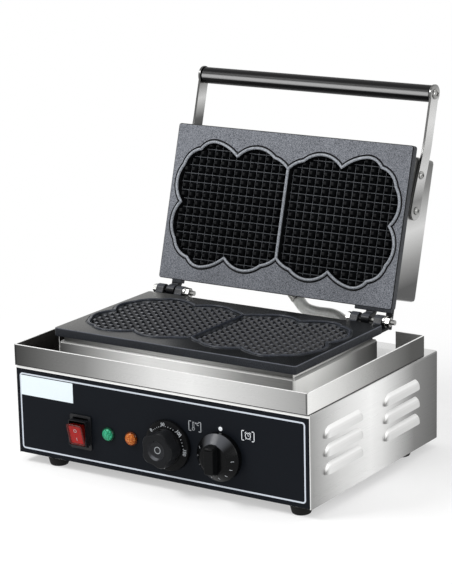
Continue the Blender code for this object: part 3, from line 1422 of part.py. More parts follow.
def make_elbow(lid):
    """An elbow on the cover's hinge-side wall that points along the conduit."""
    y, z = lid_point(COVER_BACK_INSET, LID_FITTING_RISE)
    wall = COVER_SHEET
    base = rod_mesh(FITTING_RADIUS, SEAT_GAP, ELBOW_DROP / 2, SMALL_STEPS + 4)
    turn = Matrix.Rotation(-math.pi / 2, 4, "X")
    elbow = add_object("conduit_fitting_lid", moved(base, turn), BRIGHT)
    place_part(elbow, (LID_FITTING_X, y, z), 0, lid)
    unturn = Matrix.Rotation(math.radians(LID_OPENING), 4, "X")
    _, _, lid_mouth, way = conduit_ends()
    mouth = way * ELBOW_REACH
    reach = unturn @ mouth
    corner = Vector((0, ELBOW_DROP, 0))
    join(elbow, tube_mesh([(0, -wall - OVERRUN, 0), corner, corner + reach], FITTING_COLLAR, 2))


# Assembly

def build():
    make_housing()
    make_base_plate()
    make_feet()
    make_panel()
    make_switch()
    make_rocker()
    make_lamp("lamp_green", GREEN_LAMP_X, GREEN)
    make_lamp("lamp_amber", AMBER_LAMP_X, AMBER)
    make_temperature_knob()
    make_timer_knob()
    make_control("thermostat_body", DIAL_X, DIAL_Z, THERMOSTAT_SIZE, THERMOSTAT_DEPTH, STEEL)
    make_control("timer_body", TIMER_X, TIMER_Z, TIMER_BODY_SIZE, TIMER_BODY_DEPTH, CERAMIC)
    make_terminal_block()
    make_gland()
    make_tray()
    make_heater_box()
    lid = pivot("lid_axis", (0, HINGE_Y, HINGE_Z), -math.radians(LID_OPENING))
    make_plates(lid)
    make_hinge_pins()
    make_cover(lid)
    make_arms(lid)
    make_grip(lid)
    make_screws(lid)
    make_heaters(lid)
    make_wool(lid)
    make_conduit()
    make_box_fitting()
    make_elbow(lid)


build()
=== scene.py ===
# %% [markdown]
# A countertop waffle maker, dressed for its picture.
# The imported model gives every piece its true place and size. This notebook loads it, paints
# what already has the right shape, and rebuilds the pieces that need rounder forms or finer
# detail than a solid for physics carries: the cast plates, the knobs, the lamps, the screws.

import json
import math

import bmesh
import bpy
from mathutils import Matrix, Vector


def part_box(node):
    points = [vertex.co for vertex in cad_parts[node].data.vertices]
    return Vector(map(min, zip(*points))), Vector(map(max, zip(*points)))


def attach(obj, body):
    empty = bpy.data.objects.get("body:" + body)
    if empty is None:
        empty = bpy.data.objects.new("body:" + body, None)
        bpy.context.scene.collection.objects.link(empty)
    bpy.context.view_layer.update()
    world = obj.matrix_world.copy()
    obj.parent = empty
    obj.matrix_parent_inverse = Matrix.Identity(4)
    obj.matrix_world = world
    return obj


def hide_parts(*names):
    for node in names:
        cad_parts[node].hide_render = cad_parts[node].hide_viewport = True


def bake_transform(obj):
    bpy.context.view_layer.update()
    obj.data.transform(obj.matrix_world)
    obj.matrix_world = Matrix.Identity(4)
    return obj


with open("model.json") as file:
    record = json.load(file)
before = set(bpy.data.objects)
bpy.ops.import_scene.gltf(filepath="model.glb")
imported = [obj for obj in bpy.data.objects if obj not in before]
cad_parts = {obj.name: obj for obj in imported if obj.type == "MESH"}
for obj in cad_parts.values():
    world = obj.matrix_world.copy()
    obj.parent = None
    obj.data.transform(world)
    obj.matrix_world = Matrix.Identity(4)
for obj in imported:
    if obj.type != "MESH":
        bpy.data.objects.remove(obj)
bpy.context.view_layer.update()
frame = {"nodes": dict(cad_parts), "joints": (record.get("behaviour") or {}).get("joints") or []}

# %% [markdown]
# Few places are typed in here. The panel's front, the hinge's axis and the knobs' axes are read
# from the frame, so everything below is measured from them.

# %% Places read from the frame
MM = 0.001
JOINTS = {joint["name"]: joint for joint in frame["joints"]}
PANEL_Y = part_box("control_panel")[0].y
HOUSING_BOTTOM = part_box("housing_shell")[0].z
HINGE = Vector(JOINTS["lid_hinge"]["pos_m"])
LID_OPENING = math.radians(JOINTS["lid_hinge"]["range_deg"][1])
PLATE_TOP = HINGE.z - 0.4 * MM
LID_FACE = 3.3 * MM
PLATE_BEHIND = 13.9 * MM
LID_TURN = Matrix.Translation(HINGE) @ Matrix.Rotation(-LID_OPENING, 4, "X")
print("panel front at y = %.4f, hinge axis at y = %.4f, z = %.4f" % (PANEL_Y, HINGE.y, HINGE.z))


def on_panel(x, z):
    """A place on the panel's front whose local +Z points at the user and +Y points up."""
    return Matrix.Translation((x, PANEL_Y, HOUSING_BOTTOM + z)) @ Matrix.Rotation(
        math.pi / 2, 4, "X")


def lid_point(along, rise):
    """Along the lid's plate from its hinge edge, and rise from its cooking face."""
    return -PLATE_BEHIND - along, LID_FACE + rise


# %% [markdown]
# A colour is written as it is seen on a screen, in sRGB hex. Shaders work with linear light, so
# one function turns the one into the other.
# Materials are built from nodes. One helper adds a node, sets its properties and its inputs,
# and links any input that is given as another node's output.

# %% Colour and node helpers
def linear(hex_colour):
    """An sRGB hex value as linear red, green, blue and an alpha of 1."""
    channels = [int(hex_colour[i:i + 2], 16) / 255 for i in (0, 2, 4)]
    return [c / 12.92 if c <= 0.04045 else ((c + 0.055) / 1.055) ** 2.4 for c in channels] + [1]


def add(tree, kind, inputs=None, **settings):
    """Adds a node, sets its properties, and fills or links its inputs."""
    made = tree.nodes.new(kind)
    for name, value in settings.items():
        setattr(made, name, value)
    for name, value in (inputs or {}).items():
        if isinstance(value, bpy.types.NodeSocket):
            tree.links.new(value, made.inputs[name])
        else:
            made.inputs[name].default_value = value
    return made


def new_material(name, hex_colour, roughness, metallic=0.0):
    """A material with its Principled shader set, returned with its tree and that shader."""
    material = bpy.data.materials.new(name)
    material.use_nodes = True
    shader = material.node_tree.nodes["Principled BSDF"]
    shader.inputs["Base Color"].default_value = linear(hex_colour)
    shader.inputs["Roughness"].default_value = roughness
    shader.inputs["Metallic"].default_value = metallic
    return material, material.node_tree, shader


def ramp(tree, factor, stops):
    """A colour ramp through (position, hex) stops."""
    made = add(tree, "ShaderNodeValToRGB", {"Fac": factor})
    elements = made.color_ramp.elements
    while len(elements) < len(stops):
        elements.new(0.5)
    for element, (position, hex_colour) in zip(elements, stops):
        element.position = position
        element.color = linear(hex_colour)
    return made.outputs["Color"]


def object_place(tree, scale=(1, 1, 1)):
    """Object coordinates, scaled, so that patterns have real sizes."""
    place = add(tree, "ShaderNodeTexCoord")
    mapping = add(tree, "ShaderNodeMapping", {"Vector": place.outputs["Object"], "Scale": scale})
    return mapping.outputs["Vector"]


def noise(tree, place, scale, detail, roughness=0.5):
    return add(tree, "ShaderNodeTexNoise", {"Vector": place, "Scale": scale, "Detail": detail,
                                            "Roughness": roughness}).outputs["Fac"]


def spread(tree, value, low, high, new_low, new_high):
    """Moves a value from one range to another."""
    return add(tree, "ShaderNodeMapRange", {"Value": value, "From Min": low, "From Max": high,
                                            "To Min": new_low, "To Max": new_high}).outputs[0]


def bump(tree, shader, height, strength, distance):
    made = add(tree, "ShaderNodeBump", {"Height": height, "Strength": strength,
                                        "Distance": distance})
    tree.links.new(made.outputs["Normal"], shader.inputs["Normal"])


def mixed(tree, factor, first, second, blend="MIX"):
    """Two colours mixed; each is a socket or a linear colour."""
    made = add(tree, "ShaderNodeMix", {0: factor, 6: first, 7: second},
               data_type="RGBA", blend_type=blend)
    return made.outputs[2]


# %% [markdown]
# Brushed stainless steel, type 304, is sheet that was ground with a belt. Its fine scratches
# run one way and stretch the reflections across them. The scratches are noise that is drawn
# out along the grain; their true width of a few hundredths of a millimetre would vanish, so
# they are drawn about half a millimetre wide. Broad bands of grey are painted reflections of a
# studio, since a flat sheet shows one soft gradient and never one even grey. Each face gets the
# bands for the way it faces, so tops, sides and fronts are painted lighter or darker. The inner
# faces of hollow pieces get painted shade, and faces that look down get a flat painted shade.

# %% Brushed steel
def tone(tree, split, axis, low, high, stops):
    """Painted reflection bands: greys that run along one axis from low to high, in metres."""
    return ramp(tree, spread(tree, split.outputs[axis], low, high, 0.0, 1.0), stops)


def brushed_steel(name, side, front, top, roughness=0.28, grain="X", hollow=True, metal=1.0,
                  turned=(0.6, 0.8), raised=(0.30, 0.85)):
    """Each of side, front and top is (axis, low, high, stops): the painted reflection bands for
    the faces that look there.

    Where a piece is hollow, its inner faces get painted shade, lighter towards the near right
    corner, and faces that look down get a flat painted shade. A face counts as side or top from
    the first to the second share of its normal."""
    material, tree, shader = new_material(name, "C4C4C4", roughness, metal)
    place = add(tree, "ShaderNodeTexCoord").outputs["Object"]
    split = add(tree, "ShaderNodeSeparateXYZ", {"Vector": place})
    normal = add(tree, "ShaderNodeNewGeometry").outputs["Normal"]
    facing = add(tree, "ShaderNodeSeparateXYZ", {"Vector": normal})
    sideways = add(tree, "ShaderNodeMath", {0: facing.outputs["X"]}, operation="ABSOLUTE")
    to_side = spread(tree, sideways.outputs[0], *turned, 0.0, 1.0)
    to_top = spread(tree, facing.outputs["Z"], *raised, 0.0, 1.0)
    down_face_shade = spread(tree, facing.outputs["Z"], -0.30, -0.70, 0.0, 1.0)
    flat = add(tree, "ShaderNodeVectorMath", {0: place, 1: (1, 1, 0)}, operation="MULTIPLY")
    outward = add(tree, "ShaderNodeVectorMath", {0: flat.outputs[0], 1: normal},
                  operation="DOT_PRODUCT")
    inside = spread(tree, outward.outputs["Value"], 0.0, -0.01, 0.0, 1.0 if hollow else 0.0)
    near_right = add(tree, "ShaderNodeMath", {0: split.outputs["X"], 1: split.outputs["Y"]},
                     operation="SUBTRACT")
    # Painted shade on the inner faces of hollow pieces, lighter towards the near right corner.
    painted_inner_shade = ramp(tree, spread(tree, near_right.outputs[0], -0.05, 0.25, 0.0, 1.0),
                  [(0.0, "2E2C2A"), (0.3, "A0A09E"), (1.0, "ECECEA")])
    # Painted reflection bands: each face gets the set for the way it faces.
    colour = mixed(tree, to_side, tone(tree, split, *front), tone(tree, split, *side))
    colour = mixed(tree, inside, colour, painted_inner_shade)
    colour = mixed(tree, to_top, colour, tone(tree, split, *top))
    # Faces that look down get a flat painted shade.
    colour = mixed(tree, down_face_shade, colour, linear("5E5E5D"))
    fine = [1800.0, 1800.0, 1800.0]
    fine["XYZ".index(grain)] = 12.0
    scratches = noise(tree, object_place(tree, fine), 1.0, 2.0)
    streaks = ramp(tree, scratches, [(0.30, "FAFAFA"), (0.70, "FFFFFF")])
    tree.links.new(mixed(tree, 1.0, colour, streaks, "MULTIPLY"), shader.inputs["Base Color"])
    rough = spread(tree, scratches, 0.3, 0.7, roughness - 0.008, roughness + 0.010)
    tree.links.new(rough, shader.inputs["Roughness"])
    bump(tree, shader, scratches, 0.006, 0.00002)
    return material


# The greys of every steel below are painted reflection and light: bands where the studio shows in
# the sheet, tops painted lighter, the tray's inner floor painted darker at the left, the louvers'
# ends painted darker, and the arms' edges a dark painted shade. The box is nearly matt, so nearly
# all of its look is painted.
PAINTED_TOP_LIGHT = ("X", -0.2, 0.2, [(0.0, "D8D8D7"), (0.5, "F0F0EF"), (1.0, "D0D0CF")])
STEEL_HOUSING = brushed_steel(
    "stainless_brushed_housing",
    ("Y", -0.168, 0.122, [(0.0, "9C9C9B"), (0.22, "DCDCDB"), (0.45, "F8F8F7"), (0.54, "ECECEB"),
                          (0.80, "848483"), (1.0, "5C5C5B")]),
    ("X", -0.2, 0.2, [(0.0, "F0F0EF"), (0.5, "FCFCFB"), (1.0, "F0F0EF")]),
    PAINTED_TOP_LIGHT, grain="Y")
STEEL_TRAY = brushed_steel(
    "stainless_brushed_tray",
    ("Y", -0.17, 0.091, [(0.0, "EEEEEC"), (0.25, "D6D6D4"), (0.60, "828280"), (0.88, "3E3E3C"),
                         (1.0, "383836")]),
    ("X", -0.198, 0.198, [(0.0, "3C3C3B"), (0.25, "848483"), (0.50, "DEDEDD"), (0.62, "E8E8E7"),
                          (1.0, "9A9A99")]),
    ("X", -0.19, 0.19, [(0.0, "2E2D2A"), (0.07, "4A4946"), (0.25, "C4C4C2"), (1.0, "D8D8D7")]),
    metal=0.8)
STEEL_BOX = brushed_steel(
    "stainless_brushed_box",
    ("Y", -0.134, 0.05, [(0.0, "F6F6F4"), (0.20, "FFFFFD"), (0.45, "DADAD8"), (0.75, "747473"),
                         (1.0, "2C2C2B")]),
    ("X", -0.16, 0.16, [(0.0, "525251"), (0.38, "FCFCFB"), (0.55, "F6F6F5"), (0.80, "969695"),
                        (1.0, "6C6C6B")]),
    ("X", -0.16, 0.16, [(0.0, "8E8E8C"), (0.5, "E0E0DE"), (1.0, "8E8E8C")]),
    hollow=False, metal=0.1)
STEEL_LID = brushed_steel(
    "stainless_brushed_lid",
    ("Z", 0.19, 0.345, [(0.0, "4C4C4C"), (0.20, "949493"), (0.42, "D2D2D1"), (0.55, "B2B2B1"),
                        (0.72, "7E7E7D"), (1.0, "4A4A49")]),
    ("Z", 0.17, 0.345, [(0.0, "6E6E6D"), (0.5, "E8E8E7"), (1.0, "A0A09F")]),
    ("X", -0.16, 0.16, [(0.0, "9A9A99"), (0.5, "DADAD9"), (1.0, "8C8C8B")]))
STEEL_LOUVER = brushed_steel(
    "stainless_brushed_louver", ("Y", -0.14, 0.08, [(0.0, "E0E0DF"), (1.0, "D0D0CF")]),
    ("Y", -0.14, 0.08, [(0.0, "8C8C8B"), (1.0, "7A7A79")]),
    ("Y", -0.14, 0.08, [(0.0, "FAFAF9"), (1.0, "F0F0EF")]), 0.50, "Y", False, 0.5,
    (0.80, 0.97), (0.18, 0.55))
ARM_EDGE_SHADE = ("X", -0.2, 0.2, [(0.0, "565655"), (1.0, "626261")])
STEEL_ARM_RIGHT = brushed_steel(
    "stainless_brushed_arm_right",
    ("Z", 0.267, 0.42, [(0.0, "B0B0AF"), (0.15, "7C7C7B"), (0.34, "CECECD"), (0.50, "BCBCBB"),
                        (0.72, "DADAD9"), (0.88, "C8C8C7"), (1.0, "7A7A79")]),
    ARM_EDGE_SHADE, ARM_EDGE_SHADE, 0.24, "Z", False)
STEEL_ARM_LEFT = brushed_steel(
    "stainless_brushed_arm_left",
    ("Z", 0.340, 0.410, [(0.0, "2C2C2B"), (0.25, "585857"), (0.60, "CACAC9"), (1.0, "2A2A29")]),
    ARM_EDGE_SHADE, ARM_EDGE_SHADE, 0.24, "Z", False)

# %% [markdown]
# Nuts, pins and screws are zinc or nickel plated steel: mirror bright with a slight haze.
# The conduit is plated too, of wound strip, so it gets a paler metal with a rougher skin. Cut
# edges of the sheets get a painted highlight, and the screws' recesses and the gaps between
# sheets get painted shade.

# %% Plated steel, painted highlights and painted shade
def speckled(name, hex_colour, roughness, metallic, grain, stops, detail=3.0):
    """A metal whose grey drifts a little, returned with its tree, its shader and the drift."""
    material, tree, shader = new_material(name, hex_colour, roughness, metallic)
    drift = noise(tree, object_place(tree), grain, detail)
    tree.links.new(ramp(tree, drift, stops), shader.inputs["Base Color"])
    return material, tree, shader, drift


PLATED, tree, shader, drift = speckled("nickel_plated_steel", "D9D9D6", 0.18, 1.0, 260.0,
                                       [(0.35, "CDCDCA"), (0.65, "E4E4E1")])
tree.links.new(spread(tree, drift, 0.35, 0.65, 0.14, 0.26), shader.inputs["Roughness"])
CONDUIT, tree, shader, drift = speckled("wound_plated_strip", "F2F4F1", 0.50, 0.35, 420.0,
                                        [(0.30, "ECEEEA"), (0.70, "FCFDFB")])
bump(tree, shader, drift, 0.10, 0.0001)
SCREW_STEEL = speckled("zinc_plated_screw", "8E8E8C", 0.24, 1.0, 420.0,
                       [(0.30, "7C7C7A"), (0.70, "A6A6A4")])[0]
# Painted shade for the screws' recesses and the gaps between sheets.
RECESS_SHADE = speckled("painted_recess_shade", "1A1A1A", 0.50, 0.6, 900.0,
                  [(0.30, "101010"), (0.70, "222222")], 2.0)[0]
# A painted highlight for the cut edges of the sheets.
STEEL_EDGE_HIGHLIGHT = speckled("stainless_edge_painted_highlight", "F4F4F3", 0.35, 0.2, 300.0,
                      [(0.30, "ECECEB"), (0.70, "FCFCFB")], 2.0)[0]

# %% [markdown]
# The plates are cast aluminium or iron, sand-cast rough and sprayed with a non-stick coat.
# The spray leaves grains of about a millimetre: light and dark specks on the grey face, and
# a fine pebbled bump. The coat is the same everywhere, but it is drawn in lit and shaded
# copies. It is darker on the edges, in the cavities and the groove, on the upper pegs and in
# the lower valleys, as painted shade. It is lighter on the upper bead and valleys and on the
# lower peg tips and rim, as painted highlight. The lower cavity wall has blotches of painted
# glints, and the lower face has bands of painted reflection.

# %% Coated castings
def coated_casting(name, dark, light, roughness, grain_mm=1.2, depth=0.00006, painted_light=None,
                   shine=0.2):
    """A sprayed non-stick coat whose specks are grain_mm across, with bands of painted reflection
    multiplied in where given.
    """
    material, tree, shader = new_material(name, light, roughness, 0.0)
    shader.inputs["Specular IOR Level"].default_value = shine
    place = object_place(tree)
    specks = noise(tree, place, 1.0 / (grain_mm * MM), 2.0, 0.6)
    clouds = noise(tree, place, 14.0, 3.0)
    colour = ramp(tree, specks, [(0.36, dark), (0.62, light)])
    soft = ramp(tree, clouds, [(0.30, "E2E2E2"), (0.70, "FFFFFF")])
    colour = mixed(tree, 1.0, colour, soft, "MULTIPLY")
    if painted_light:
        split = add(tree, "ShaderNodeSeparateXYZ",
                    {"Vector": add(tree, "ShaderNodeTexCoord").outputs["Object"]})
        colour = mixed(tree, 1.0, colour, tone(tree, split, *painted_light), "MULTIPLY")
    tree.links.new(colour, shader.inputs["Base Color"])
    tree.links.new(spread(tree, specks, 0.3, 0.7, roughness + 0.08, roughness - 0.06),
                   shader.inputs["Roughness"])
    bump(tree, shader, specks, 0.35, depth)
    return material


# The darker copies below are painted shade and the lighter ones painted highlight, as the text
# above lists.
COAT_GREY = coated_casting("nonstick_coat_grey", "3E4147", "868990", 0.50, 1.05, 0.00008)
COAT_EDGE_SHADE = coated_casting("nonstick_coat_edge_shade", "181A1F", "303338", 0.40)
COAT_SHADE_BLACK = coated_casting("nonstick_coat_painted_shade", "050607", "0E0F11", 0.40, shine=0.1)
COAT_BEAD = coated_casting("nonstick_coat_bead_painted_light", "6A6E75", "A4A8AE", 0.36)
COAT_DECK = coated_casting("nonstick_coat_deck", "4C4C4A", "646462", 0.30, 0.9, 0.00003, (
    "X", -0.17, 0.17, [(0.0, "FFFFFF"), (0.08, "D0D0D0"), (0.20, "7C7D80"), (0.50, "4A4E54"),
                    (1.0, "3A3E44")]), 0.15)
BEAD_LOWER = coated_casting("nonstick_bead_lower", "1E2025", "3A3E47", 0.28)
PEG_UPPER = coated_casting("peg_coat_painted_shade", "040506", "0C0D0F", 0.45, shine=0.03)
VALLEY_UPPER = coated_casting("valley_coat_painted_light", "54575B", "74777C", 0.45, shine=0.1)
PEG_LOWER = coated_casting("peg_coat_flank", "16171A", "26272B", 0.38, shine=0.15)
TIP_LOWER = coated_casting("peg_tip_painted_highlight", "4C4E54", "696B71", 0.34)
EDGE_LOWER = coated_casting("plate_edge_painted_highlight", "42454C", "666972", 0.30)
WALL_LOWER = coated_casting("cavity_wall_painted_glints", "131517", "4A4D51", 0.30, 9.0, 0.00003)
VALLEY_LOWER = coated_casting("valley_coat_painted_shade", "08090A", "101113", 0.45, shine=0.1)
LUG_BLACK = coated_casting("nonstick_coat_glossy", "08090A", "121316", 0.30, shine=0.14)

# %% [markdown]
# The control panel wears a matt black polyester film. The knobs and the grip are phenolic, the
# switch frame is satin nylon, the feet are rubber. Blacks differ by their gloss, so each has
# its own roughness. On the grip, the timer's cone, the dial's dish and the hinge knuckles, the
# soft band of light that a long lamp draws is painted into the colour as a painted highlight.

# %% Plastics and rubber
def plastic(name, hex_colour, roughness, grain=900.0, strength=0.05, shine=0.5, uneven=0.05):
    material, tree, shader = new_material(name, hex_colour, roughness)
    shader.inputs["Specular IOR Level"].default_value = shine
    grains = noise(tree, object_place(tree), grain, 2.0)
    tree.links.new(spread(tree, grains, 0.3, 0.7, roughness - uneven, roughness + uneven),
                   shader.inputs["Roughness"])
    tree.links.new(ramp(tree, grains, [(0.25, hex_colour), (0.75, lighter(hex_colour))]),
                   shader.inputs["Base Color"])
    bump(tree, shader, grains, strength, 0.00004)
    return material


def lighter(hex_colour):
    """The same colour five levels up."""
    return "".join("%02X" % min(int(hex_colour[i:i + 2], 16) + 5, 255) for i in (0, 2, 4))


def strip_sheen(material, facing, low, highlight_colour):
    """A painted highlight: a soft light band painted into the base colour where the surface faces
    one way, as a long studio lamp draws it.

    It goes by the normal, so it stays in place when the knob or the lid turns."""
    tree = material.node_tree
    shader = tree.nodes["Principled BSDF"]
    ground = shader.inputs["Base Color"].links[0].from_socket
    normal = add(tree, "ShaderNodeNewGeometry").outputs["Normal"]
    along = add(tree, "ShaderNodeVectorMath", {0: normal, 1: tuple(Vector(facing).normalized())},
                operation="DOT_PRODUCT")
    share = add(tree, "ShaderNodeMapRange", {"Value": along.outputs["Value"], "From Min": low,
                                             "From Max": 1.0}, interpolation_type="SMOOTHSTEP")
    tree.links.new(mixed(tree, share.outputs[0], ground, linear(highlight_colour)),
                   shader.inputs["Base Color"])


FILM_BLACK = plastic("polyester_film_black", "101318", 0.40, 1600.0, 0.03, 0.05)
PHENOLIC = plastic("phenolic_black", "08090A", 0.30, 700.0, 0.02, 0.07)
PHENOLIC_CONE = plastic("phenolic_black_polished", "050607", 0.22, 700.0, 0.0, 0.10, 0.01)
PHENOLIC_SATIN = plastic("phenolic_black_satin", "08090A", 0.34, 700.0, 0.02, 0.08)
PHENOLIC_CAP = plastic("phenolic_black_cap", "151618", 0.40, 700.0, 0.02, 0.08)
PHENOLIC_DISH = plastic("phenolic_black_dish", "222326", 0.30, 700.0, 0.0, 0.10)
GRIP_BLACK = plastic("grip_gloss_black", "040405", 0.34, 500.0, 0.0, 0.12, 0.004)
NYLON_BLACK = plastic("nylon_black", "0E0F12", 0.34, shine=0.3)
RUBBER = plastic("rubber_black", "0D0D0D", 0.75, 600.0, 0.20, 0.2)
PRINT_WHITE = plastic("print_white", "E8ECF0", 0.50, 2000.0, 0.02)
PRINT_DIAL = plastic("print_dial_grey", "A6AAAE", 0.50, 2000.0, 0.02)
PRINT_GREY = plastic("print_line_grey", "C2C9D3", 0.45, 2000.0, 0.02)
# Painted highlights on the grip, the timer's cone, the hinge knuckles and the dial's dish.
strip_sheen(GRIP_BLACK, (0, -0.994, 0.105), 0.955, "969696")
strip_sheen(PHENOLIC_CONE, (0.05, -0.75, 0.66), 0.84, "4C4E52")
strip_sheen(LUG_BLACK, (-0.2, -0.45, 0.87), 0.75, "3A3C41")
strip_sheen(PHENOLIC_DISH, (0.25, -0.64, 0.72), 0.86, "5A5C60")
LABEL_PALE = plastic("label_plate_pale", "DCE7EC", 0.35, 2000.0, 0.02)
CERAMIC = plastic("ceramic_unglazed", "D9D3C4", 0.70, 300.0, 0.15)
WOOL = plastic("mineral_wool", "B9A884", 0.95, 180.0, 0.60)

# %% [markdown]
# The rocker and the lamp lenses are clear coloured polycarbonate. A little transmission lets
# light into them, and small cells of a brighter colour stand for their moulded prisms.

# %% Clear coloured plastics
def lens(name, hex_colour, glow):
    material, tree, shader = new_material(name, hex_colour, 0.16)
    shader.inputs["Transmission Weight"].default_value = 0.15
    shader.inputs["IOR"].default_value = 1.45
    shader.inputs["Specular IOR Level"].default_value = 0.2
    cells = add(tree, "ShaderNodeTexVoronoi", {"Vector": object_place(tree), "Scale": 700.0})
    tree.links.new(ramp(tree, cells.outputs["Distance"], [(0.1, glow), (0.6, hex_colour)]),
                   shader.inputs["Base Color"])
    bump(tree, shader, cells.outputs["Distance"], 0.25, 0.0002)
    return material


LENS_GREEN = lens("polycarbonate_green", "16805A", "52D6A6")
LENS_AMBER = lens("polycarbonate_amber", "A84E10", "F0A050")
RING_GREEN = lens("polycarbonate_deep_green", "08301F", "0E5038")
RING_AMBER = lens("polycarbonate_deep_amber", "4A1E04", "7A3A0C")
ROCKER_RED = lens("polycarbonate_red", "A20A04", "B4120A")
ROCKER_DEEP = lens("polycarbonate_deep_red", "4C0603", "66100A")

# %% [markdown]
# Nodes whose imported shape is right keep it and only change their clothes.

# %% Dress the nodes that stay
KEPT = {
    "housing_shell": STEEL_HOUSING, "base_plate": STEEL_HOUSING, "splash_tray": STEEL_TRAY,
    "heater_box": STEEL_BOX, "lid_cover": STEEL_LID, "control_panel": FILM_BLACK,
    "switch_bezel": NYLON_BLACK, "cable_gland": NYLON_BLACK, "thermostat_body": STEEL_BOX,
    "timer_body": CERAMIC, "terminal_block": CERAMIC, "lower_element": PLATED,
    "upper_element": PLATED, "sensor_bulb": PLATED, "lower_insulation": WOOL,
    "upper_insulation": WOOL, "conduit_fitting_box": PLATED, "conduit_fitting_lid": PLATED,
    "hinge_pin_left": SCREW_STEEL, "hinge_pin_right": SCREW_STEEL,
    "hinge_nut_left": SCREW_STEEL, "hinge_nut_right": SCREW_STEEL,
}
for node_name, material in KEPT.items():
    for place in frame["nodes"][node_name].material_slots:
        place.material = material
print("nodes dressed:", len(KEPT))

# %% [markdown]
# New pieces all end the same way: merged, facing outwards, smooth but for sharp edges, with
# their place in their mesh, riding on a body and standing for the nodes they replace. A
# Weighted Normal modifier keeps the broad faces flat in the light beside their round edges.

# %% Helpers that finish a piece
def finish_mesh(bm, name, matrix=None):
    """A mesh from a bmesh, put in place and facing outwards."""
    bmesh.ops.remove_doubles(bm, verts=bm.verts, dist=0.000002)
    if matrix is not None:
        bmesh.ops.transform(bm, matrix=matrix, verts=bm.verts)
    bmesh.ops.recalc_face_normals(bm, faces=bm.faces)
    mesh = bpy.data.meshes.new(name)
    bm.to_mesh(mesh)
    bm.free()
    return mesh


def linked(name, data):
    """A new object in the scene, at the world's origin."""
    made = bpy.data.objects.new(name, data)
    bpy.context.scene.collection.objects.link(made)
    return made


def add_piece(name, mesh, materials, body, nodes=(), sharp=32.0):
    """Makes a piece of the object from a mesh that is already in place."""
    for index, material in enumerate(materials):
        if index < len(mesh.materials):
            mesh.materials[index] = material
        else:
            mesh.materials.append(material)
    mesh.shade_smooth()
    mesh.set_sharp_from_angle(angle=math.radians(sharp))
    piece = linked(name, mesh)
    even = piece.modifiers.new("even_light", "WEIGHTED_NORMAL")
    even.keep_sharp = True
    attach(piece, body)
    if nodes:
        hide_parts(*nodes)
    print("%s: %d faces, on %s" % (name, len(mesh.polygons), body))


def bevel_edges(bm, edges, width, steps):
    bmesh.ops.bevel(bm, geom=list(edges), offset=width, offset_type="OFFSET", segments=steps,
                    profile=0.5, affect="EDGES", material=-1, clamp_overlap=True)


def steep_edges(bm, degrees=40.0):
    """Edges whose faces meet at more than the angle given."""
    limit = math.radians(degrees)
    return [e for e in bm.edges if len(e.link_faces) == 2 and e.calc_face_angle(0.0) > limit]


def spun(profile, steps):
    """A body of revolution about Z from (radius, height) points."""
    bm = bmesh.new()
    verts = [bm.verts.new((radius, 0, height)) for radius, height in profile]
    edges = [bm.edges.new(pair) for pair in zip(verts, verts[1:])]
    bmesh.ops.spin(bm, geom=verts + edges, cent=(0, 0, 0), axis=(0, 0, 1), angle=2 * math.pi,
                   steps=steps, use_merge=True)
    bmesh.ops.remove_doubles(bm, verts=bm.verts, dist=0.000002)
    bmesh.ops.recalc_face_normals(bm, faces=bm.faces)
    return bm


def pulled(bm, faces, rise):
    """Extrudes faces upwards and returns the raised faces and vertices."""
    made = bmesh.ops.extrude_face_region(bm, geom=list(faces))["geom"]
    verts = [v for v in made if isinstance(v, bmesh.types.BMVert)]
    bmesh.ops.translate(bm, vec=(0, 0, rise), verts=verts)
    return [f for f in made if isinstance(f, bmesh.types.BMFace)], verts


def extruded(outline, low, high):
    """A flat outline pulled up from low to high."""
    bm = bmesh.new()
    face = bm.faces.new([bm.verts.new((x, y, low)) for x, y in outline])
    pulled(bm, [face], high - low)
    bmesh.ops.recalc_face_normals(bm, faces=bm.faces)
    return bm


def boxed(low, high):
    bm = bmesh.new()
    low, high = Vector(low), Vector(high)
    bmesh.ops.create_cube(bm, size=1.0, matrix=Matrix.Translation((low + high) / 2)
                          @ Matrix.Diagonal((*(high - low), 1)))
    return bm


def joined(*parts):
    """One bmesh from several, which are used up."""
    whole = bmesh.new()
    for part in parts:
        mesh = bpy.data.meshes.new("part")
        part.to_mesh(mesh)
        part.free()
        whole.from_mesh(mesh)
        bpy.data.meshes.remove(mesh)
    return whole


def carved(mesh, tool, operation="DIFFERENCE"):
    """A mesh cut by, joined with or kept inside another, which is used up."""
    holders = [linked("holder", part) for part in (mesh, tool)]
    modifier = holders[0].modifiers.new("carve", "BOOLEAN")
    modifier.operation = operation
    modifier.solver = "EXACT"
    modifier.material_mode = "TRANSFER"
    modifier.object = holders[1]
    graph = bpy.context.evaluated_depsgraph_get()
    result = bpy.data.meshes.new_from_object(holders[0].evaluated_get(graph))
    for holder in holders:
        bpy.data.objects.remove(holder, do_unlink=True)
    return result


def curve_mesh(curve):
    """The mesh of a curve or a text, as a bmesh."""
    holder = linked("curve", curve)
    graph = bpy.context.evaluated_depsgraph_get()
    mesh = bpy.data.meshes.new_from_object(holder.evaluated_get(graph))
    bpy.data.objects.remove(holder, do_unlink=True)
    bm = bmesh.new()
    bm.from_mesh(mesh)
    return bm


